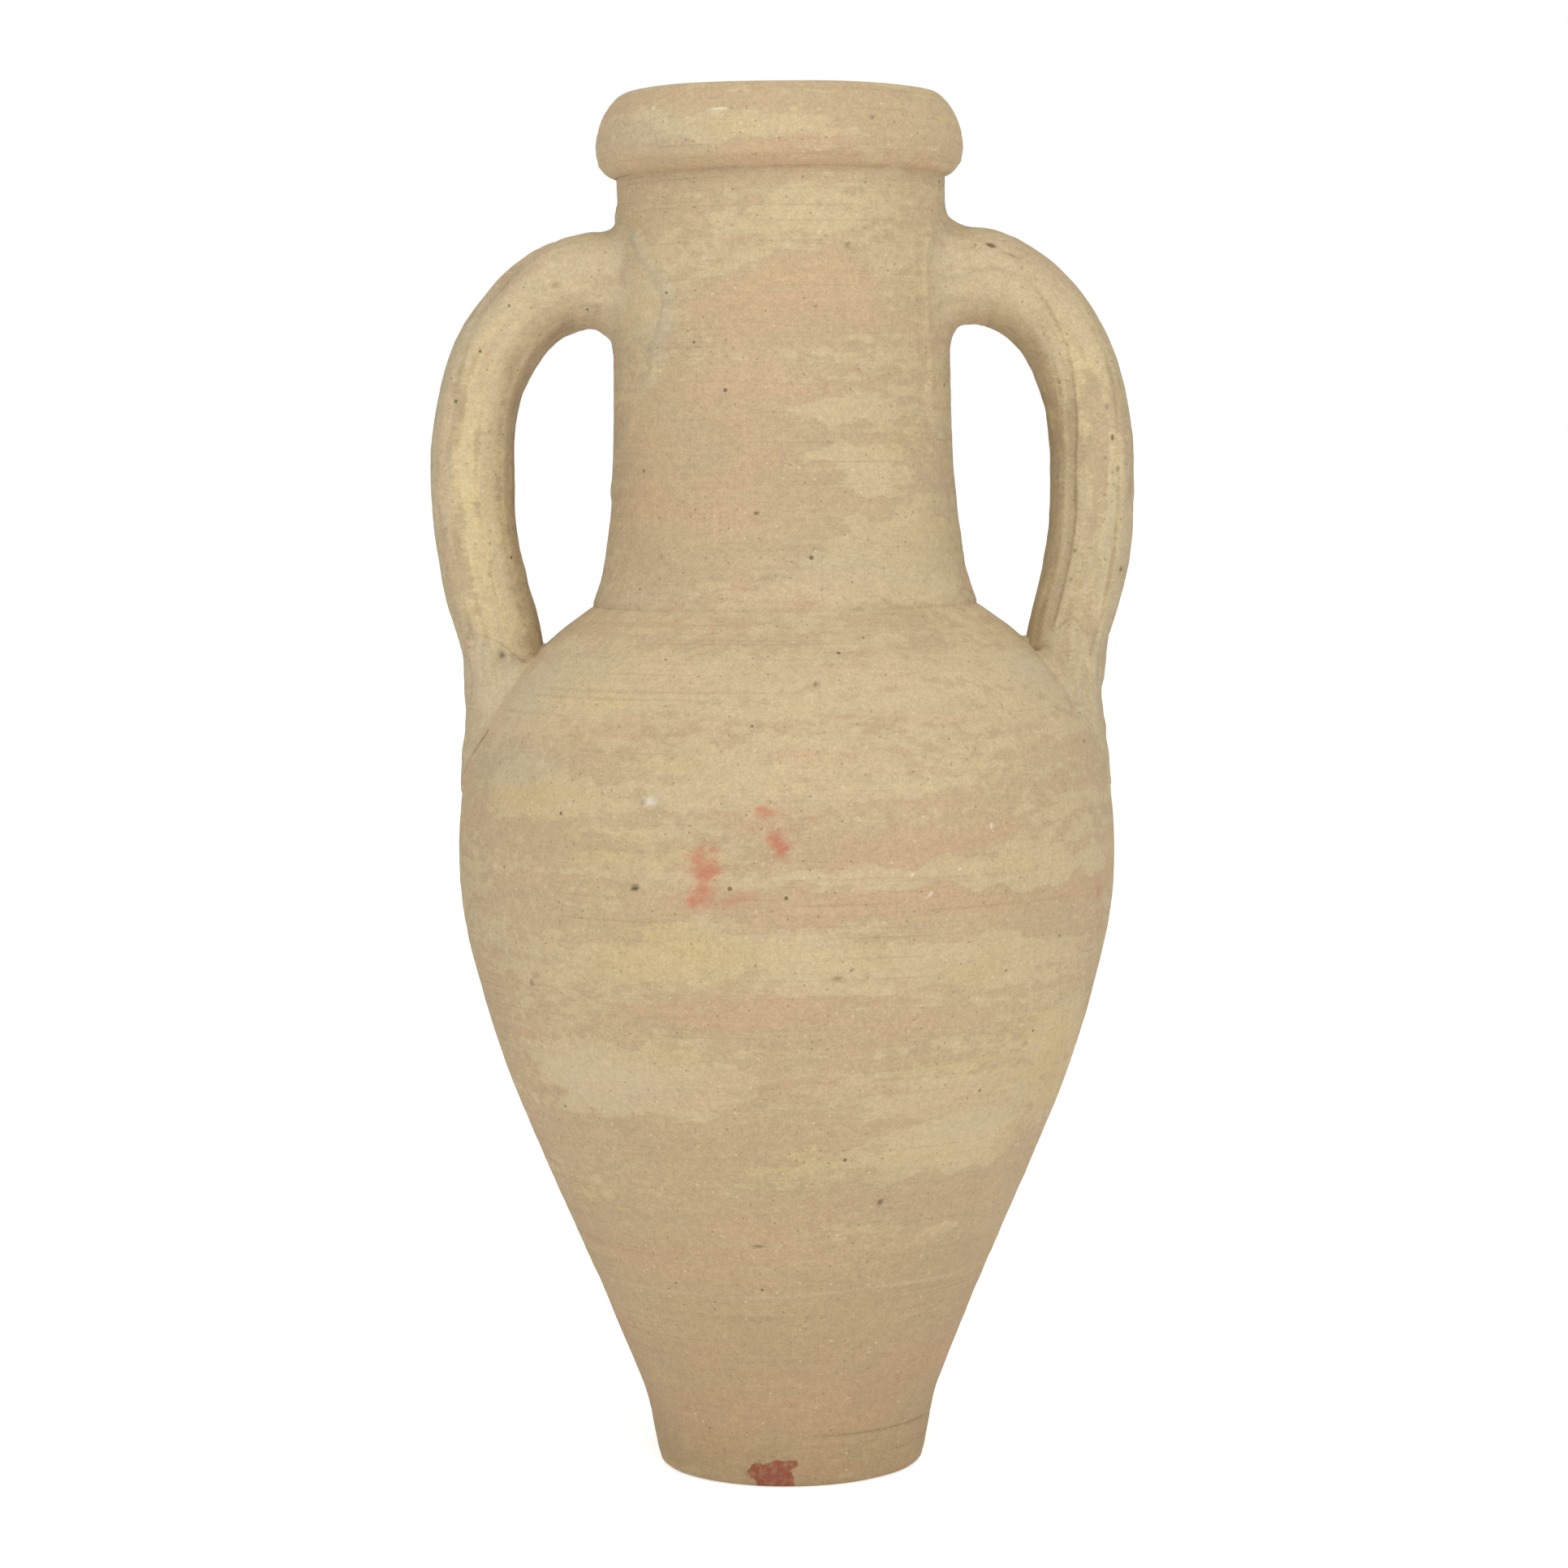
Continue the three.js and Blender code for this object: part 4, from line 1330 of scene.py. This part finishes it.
# %% [markdown]
# ## The wads that hold the handles
# Wet clay was pressed round each end of a strap and wiped out over the wall. Its surface
# is where two distances blend: the distance from the strap and the distance from the
# wall. A smooth minimum of the two gives the hollow fillet that a thumb leaves. A guess
# at the surface is a skirt of paths, down the strap and out over the wall, and a few
# Newton steps bring every point of it onto the blend.


# %% Distances from the strap and from the wall
def strap_distance(points):
    """How far points are outside the strap's skin, and the direction in which that grows."""
    flat = points.reshape(-1, 3)[:, [0, 2]].astype(np.float32)
    coarse = line[::2].astype(np.float32)
    square = ((flat[:, None, :] - coarse[None]) ** 2).sum(axis=-1)
    near = 2 * square.argmin(axis=1).reshape(points.shape[:-1])
    out = line_out[near]
    u = ((points[..., [0, 2]] - line[near]) * out).sum(axis=-1)
    v = -points[..., 1]
    size = np.maximum(np.hypot(u, v), 1e-6)
    thick = thickness(line_length[near])
    a, b = np.abs(u) / thick, np.abs(v) / half_wide
    level = (a**SQUARENESS + b**SQUARENESS) ** (1 / SQUARENESS)
    grow_u = np.sign(u) * a ** (SQUARENESS - 1) / thick
    grow_v = np.sign(v) * b ** (SQUARENESS - 1) / half_wide
    scale = np.maximum(np.hypot(grow_u, grow_v), 1e-9)
    grow_u, grow_v = grow_u / scale, grow_v / scale
    direction = np.stack([out[..., 0] * grow_u, -grow_v, out[..., 1] * grow_u], axis=-1)
    return size * (1 - 1 / np.maximum(level, 1e-3)), direction


def wall_distance(points, side, with_relief=True):
    """How far points are outside the pot's wall, and the direction in which that grows."""
    radius = from_axis(points)
    z = points[..., 2]
    slope = (outside(z + MM) - outside(z - MM)) / (2 * MM)
    lean = 1 / np.sqrt(1 + slope**2)
    relief = wall_relief(mirrored(points, side)) if with_relief else 0.0
    x, y = points[..., 0] / radius, points[..., 1] / radius
    direction = np.stack([x * lean, y * lean, -slope * lean], axis=-1)
    return (radius - outside(z) - relief) * lean, direction


def onto_blend(points, side, fillet, offset, steps=6):
    """Moves points onto the smooth minimum of the two distances, less an offset.

    The smooth minimum is the smaller distance less a quarter of the fillet times the square
    of how close the two are, counted in fillets.
    """
    for _ in range(steps):
        from_strap, strap_way = strap_distance(points)
        from_wall, wall_way = wall_distance(points, side)
        close = np.clip(1 - np.abs(from_strap - from_wall) / fillet, 0, 1)
        value = np.minimum(from_strap, from_wall) - close**2 * fillet / 4 - offset
        share = np.where(from_strap < from_wall, 1 - close / 2, close / 2)[..., None]
        way = share * strap_way + (1 - share) * wall_way
        strength = np.maximum((way**2).sum(axis=-1), 0.2)
        points = points - (value / strength)[..., None] * way
    return points


# %% The skirt of paths, and the wads
DOWN_ROWS, CORNER_ROWS, WALL_ROWS = 44, 25, 15  # on the strap, in the corner, on the wall


def skirt(side, start, lengths, slide, fillet, travel):
    """Paths from the strap onto the wall: along the strap, round the corner, out over the wall.

    Each path has a start length, and the corner is a quadratic curve whose middle handle is
    the point at which the strap's skin meets the wall.
    """
    angle = np.arange(len(start)) / len(start) * 2 * math.pi
    skin = strap_surface(lengths[:, None], angle[None, :])
    inside_wall = wall_distance(skin, side, with_relief=False)[0] < 0
    entry = lengths[inside_wall.argmax(axis=0)]
    meet = strap_surface(entry, angle)
    wall_way = wall_distance(meet, side, with_relief=False)[1]
    strap_way = strap_distance(meet)[1]
    centre_run = along(entry, line_run)
    run = np.stack([centre_run[:, 0], 0 * entry, centre_run[:, 1]], axis=-1)
    way = strap_way + travel[:, None] * run
    way -= (way * wall_way).sum(axis=-1, keepdims=True) * wall_way
    way /= np.linalg.norm(way, axis=-1, keepdims=True)
    sign = np.sign(lengths[1] - lengths[0])
    room = 0.9 * fillet
    begin = entry - sign * room
    begin = np.where((begin - start) * sign < 1 * MM, start + sign * 1 * MM, begin)
    down = start + np.linspace(0, 1, DOWN_ROWS)[:, None] * (begin - start)
    first = strap_surface(down, angle[None, :])
    corner_start, corner_end = first[-1], meet + way * room[:, None]
    t = np.linspace(0, 1, CORNER_ROWS + 1)[1:, None, None]
    corner = (1 - t) ** 2 * corner_start + 2 * t * (1 - t) * meet + t**2 * corner_end
    t = np.linspace(0, 1, WALL_ROWS + 1)[1:, None, None]
    out = corner_end + t * way * (slide - room)[:, None]
    at_corner = np.repeat(begin[None] + sign * 2 * MM, CORNER_ROWS, 0)
    length = np.vstack([down, at_corner, np.repeat(entry[None], WALL_ROWS, 0)])
    return np.vstack([first, corner, out]), length, angle


def wad_depth(name, length, angle, side):
    """How far a wad lies under the strap's skin, in metres.

    The root's wad comes up to the skin at its station. The heel's stays under the strap, by
    most where the lip is sharpest, and comes up below the lip.
    """
    if name == "root":
        return 0.3 * MM * ease(length, ROOT_STATION - 2 * MM, ROOT_STATION + 2 * MM)
    depth = (0.45 + 0.75 * (1 - lip_softness(angle, side))) * MM
    return depth * np.exp(-np.clip(length - strap_end(angle, side), 0, 1) / (12 * MM))


def wad(side, name, start, lengths, fillet, travel, lumps):
    """A wad: the skirt on the blend, with thumb marks, its edge tucked under the wall's skin."""
    slide = 1.15 * fillet + 2 * MM
    guess, length, angle = skirt(side, start, lengths, slide, fillet, travel)
    rows = len(guess)
    # Rows are counted back from the wad's edge: the last few are tucked under the wall.
    offset = -wad_depth(name, length, angle, side)
    on_wall_share = ease(np.arange(rows), rows - 34, rows - 8)[:, None]
    marks = lumps * MM * rumple(mirrored(guess, side), (0.016, 0.016, 0.014), seed=120, waves=32)
    marks = marks + 0.05 * MM * rumple(mirrored(guess, side), (0.006, 0.006, 0.03), seed=121, waves=40)
    marks = marks + strap_relief(length, angle[None, :], side)
    offset = offset * (1 - on_wall_share) + marks * (1 - on_wall_share)
    edge = ease(np.arange(rows), rows - 8, rows - 1)[:, None]
    offset = offset - 0.7 * MM * edge
    points = onto_blend(guess, side, np.broadcast_to(fillet, guess.shape[:-1]), offset)
    points = mirrored(points, side)
    strap_look = strap_masks(points, length, angle[None, :], side)
    wall_look = clay_masks(points)
    share = on_wall_share
    masks = {key: strap_look[key] * (1 - share) + wall_look[key] * share for key in MASKS}
    tint = (1 - ease(np.arange(rows), rows - 20, rows - 4)[:, None]) * (name == "heel")
    masks["grey"] = np.clip(masks["grey"] + 0.35 * tint, 0, 1)
    masks["warmth"] = np.clip(masks["warmth"] + {"left": 0.2, "right": -0.5}[side] * tint, -1, 1)
    piece = make_piece(f"{side}_{name}", points, masks, wrap_rows=False, caps=True)
    strap_run("strap_run", piece, length, angle[None, :])
    return piece


upward, downward = np.clip(np.cos(ROUND_STRAP), 0, 1), np.clip(-np.cos(ROUND_STRAP), 0, 1)

for side in HANDLE_SIDES:
    top = 5.5 if side == "left" else 8.0
    fillet = (13 + (top - 13) * upward**0.7) * MM
    start = np.full(STRAP_COLUMNS, ROOT_STATION + 2.2 * MM)
    lengths = np.linspace(ROOT_STATION, 1 * MM, 300)
    piece = wad(side, "root", start, lengths, fillet, travel=0 * start, lumps=0.22)
    settle(piece, f"{side}_handle_root_wad", LUTING)

for side in HANDLE_SIDES:
    start = strap_end(ROUND_STRAP, side) - 6 * MM
    fillet = (6.5 + 5.5 * upward - 2.5 * downward) * MM
    lengths = np.linspace(length_at(340), line_length[-1], 400)
    piece = wad(side, "heel", start, lengths, fillet, travel=2.0 * upward, lumps=0.3)
    settle(piece, f"{side}_handle_heel_wad", LUTING)

# %% [markdown]
# ## The studio
# The pot stands on a wide, plain, pale floor in soft light, with a large panel in front
# and above. The sky is brightest at the horizon, dim a little above it and bright again
# overhead. The camera stands about three heights of the pot away and three quarters of
# its height up, and is tilted a few degrees down.


# %% Floor, lights and camera
FLOOR_GLOW = 0.62
FLOOR_REACH = 30
STUDIO_FLOOR = -0.0002  # just below the foot


def plain(name, red, green, blue):
    """A matt, even material for the floor, lit a little from beneath as a light table is."""
    g = Graph(name)
    inputs = {"Base Color": paint(red, green, blue), "Roughness": 0.9, "Specular IOR Level": 0.1}
    inputs.update({"Emission Color": (1, 1, 1, 1), "Emission Strength": FLOOR_GLOW})
    shader = g.add("BsdfPrincipled", inputs)
    g.add("OutputMaterial", {"Surface": shader})
    return g.material


floor_mesh = bpy.data.meshes.new("studio_floor")
floor_signs = [(-1, -1), (1, -1), (1, 1), (-1, 1)]
floor_corners = [(FLOOR_REACH * x, FLOOR_REACH * y, STUDIO_FLOOR) for x, y in floor_signs]
floor_mesh.from_pydata(floor_corners, [], [(0, 1, 2, 3)])
floor = bpy.data.objects.new("studio_floor", floor_mesh)
bpy.context.scene.collection.objects.link(floor)
floor_mesh.materials.append(plain("pale_floor", 222, 222, 222))

# The sky's strength at the horizon, a little above it and overhead, with the angles in
# degrees between which it changes.
HORIZON, SKY, OVERHEAD = 1.0, 0.34, 0.87
HAZE_TOP, SKY_BOTTOM, OVERHEAD_FROM = 8, 20, 65
world = bpy.data.worlds.new("studio_world")
bpy.context.scene.world = world
world.use_nodes = True
sky = world.node_tree
direction = sky.nodes.new("ShaderNodeTexCoord")
parts = sky.nodes.new("ShaderNodeSeparateXYZ")
both = sky.nodes.new("ShaderNodeMath")
sky.links.new(direction.outputs["Generated"], parts.inputs[0])
ramps = [(HAZE_TOP, SKY_BOTTOM, HORIZON, SKY), (SKY_BOTTOM, OVERHEAD_FROM, 0.0, OVERHEAD - SKY)]
for place, (low, high, low_strength, high_strength) in enumerate(ramps):
    ramp = sky.nodes.new("ShaderNodeMapRange")
    ramp.inputs["From Min"].default_value = math.sin(math.radians(low))
    ramp.inputs["From Max"].default_value = math.sin(math.radians(high))
    ramp.inputs["To Min"].default_value = low_strength
    ramp.inputs["To Max"].default_value = high_strength
    sky.links.new(parts.outputs["Z"], ramp.inputs["Value"])
    sky.links.new(ramp.outputs["Result"], both.inputs[place])
sky.links.new(both.outputs[0], sky.nodes["Background"].inputs["Strength"])
sky.nodes["Background"].inputs["Color"].default_value = (1.0, 1.0, 1.0, 1.0)


def panel(name, place, aim, width, height, power):
    """A soft rectangular light at a place, turned to face a point."""
    light = bpy.data.lights.new(name, "AREA")
    light.shape = "RECTANGLE"
    light.size, light.size_y, light.energy = width, height, power
    lamp = bpy.data.objects.new(name, light)
    lamp.location = place
    lamp.rotation_euler = (Vector(aim) - Vector(place)).to_track_quat("-Z", "Y").to_euler()
    bpy.context.scene.collection.objects.link(lamp)


panel("front_panel", (0.12, -1.75, 2.4), (0, 0, 0.3), 1.5, 1.3, 36.5)

CAMERA_PLACE = (-0.0009, -1.65976, 0.40997)
CAMERA_TILT = 4.4828  # degrees down from level
CAMERA_ROLL = -0.6
camera = bpy.data.objects.new("camera", bpy.data.cameras.new("camera"))
camera.data.lens = 93.168
camera.data.sensor_width = 36
camera.data.clip_end = 100
camera.location = CAMERA_PLACE
tilted = Euler((math.radians(90 - CAMERA_TILT), 0, 0)).to_matrix()
camera.rotation_euler = (tilted @ Matrix.Rotation(math.radians(CAMERA_ROLL), 3, "Z")).to_euler()
bpy.context.scene.collection.objects.link(camera)
bpy.context.scene.camera = camera
bpy.context.scene.view_settings.view_transform = "Standard"
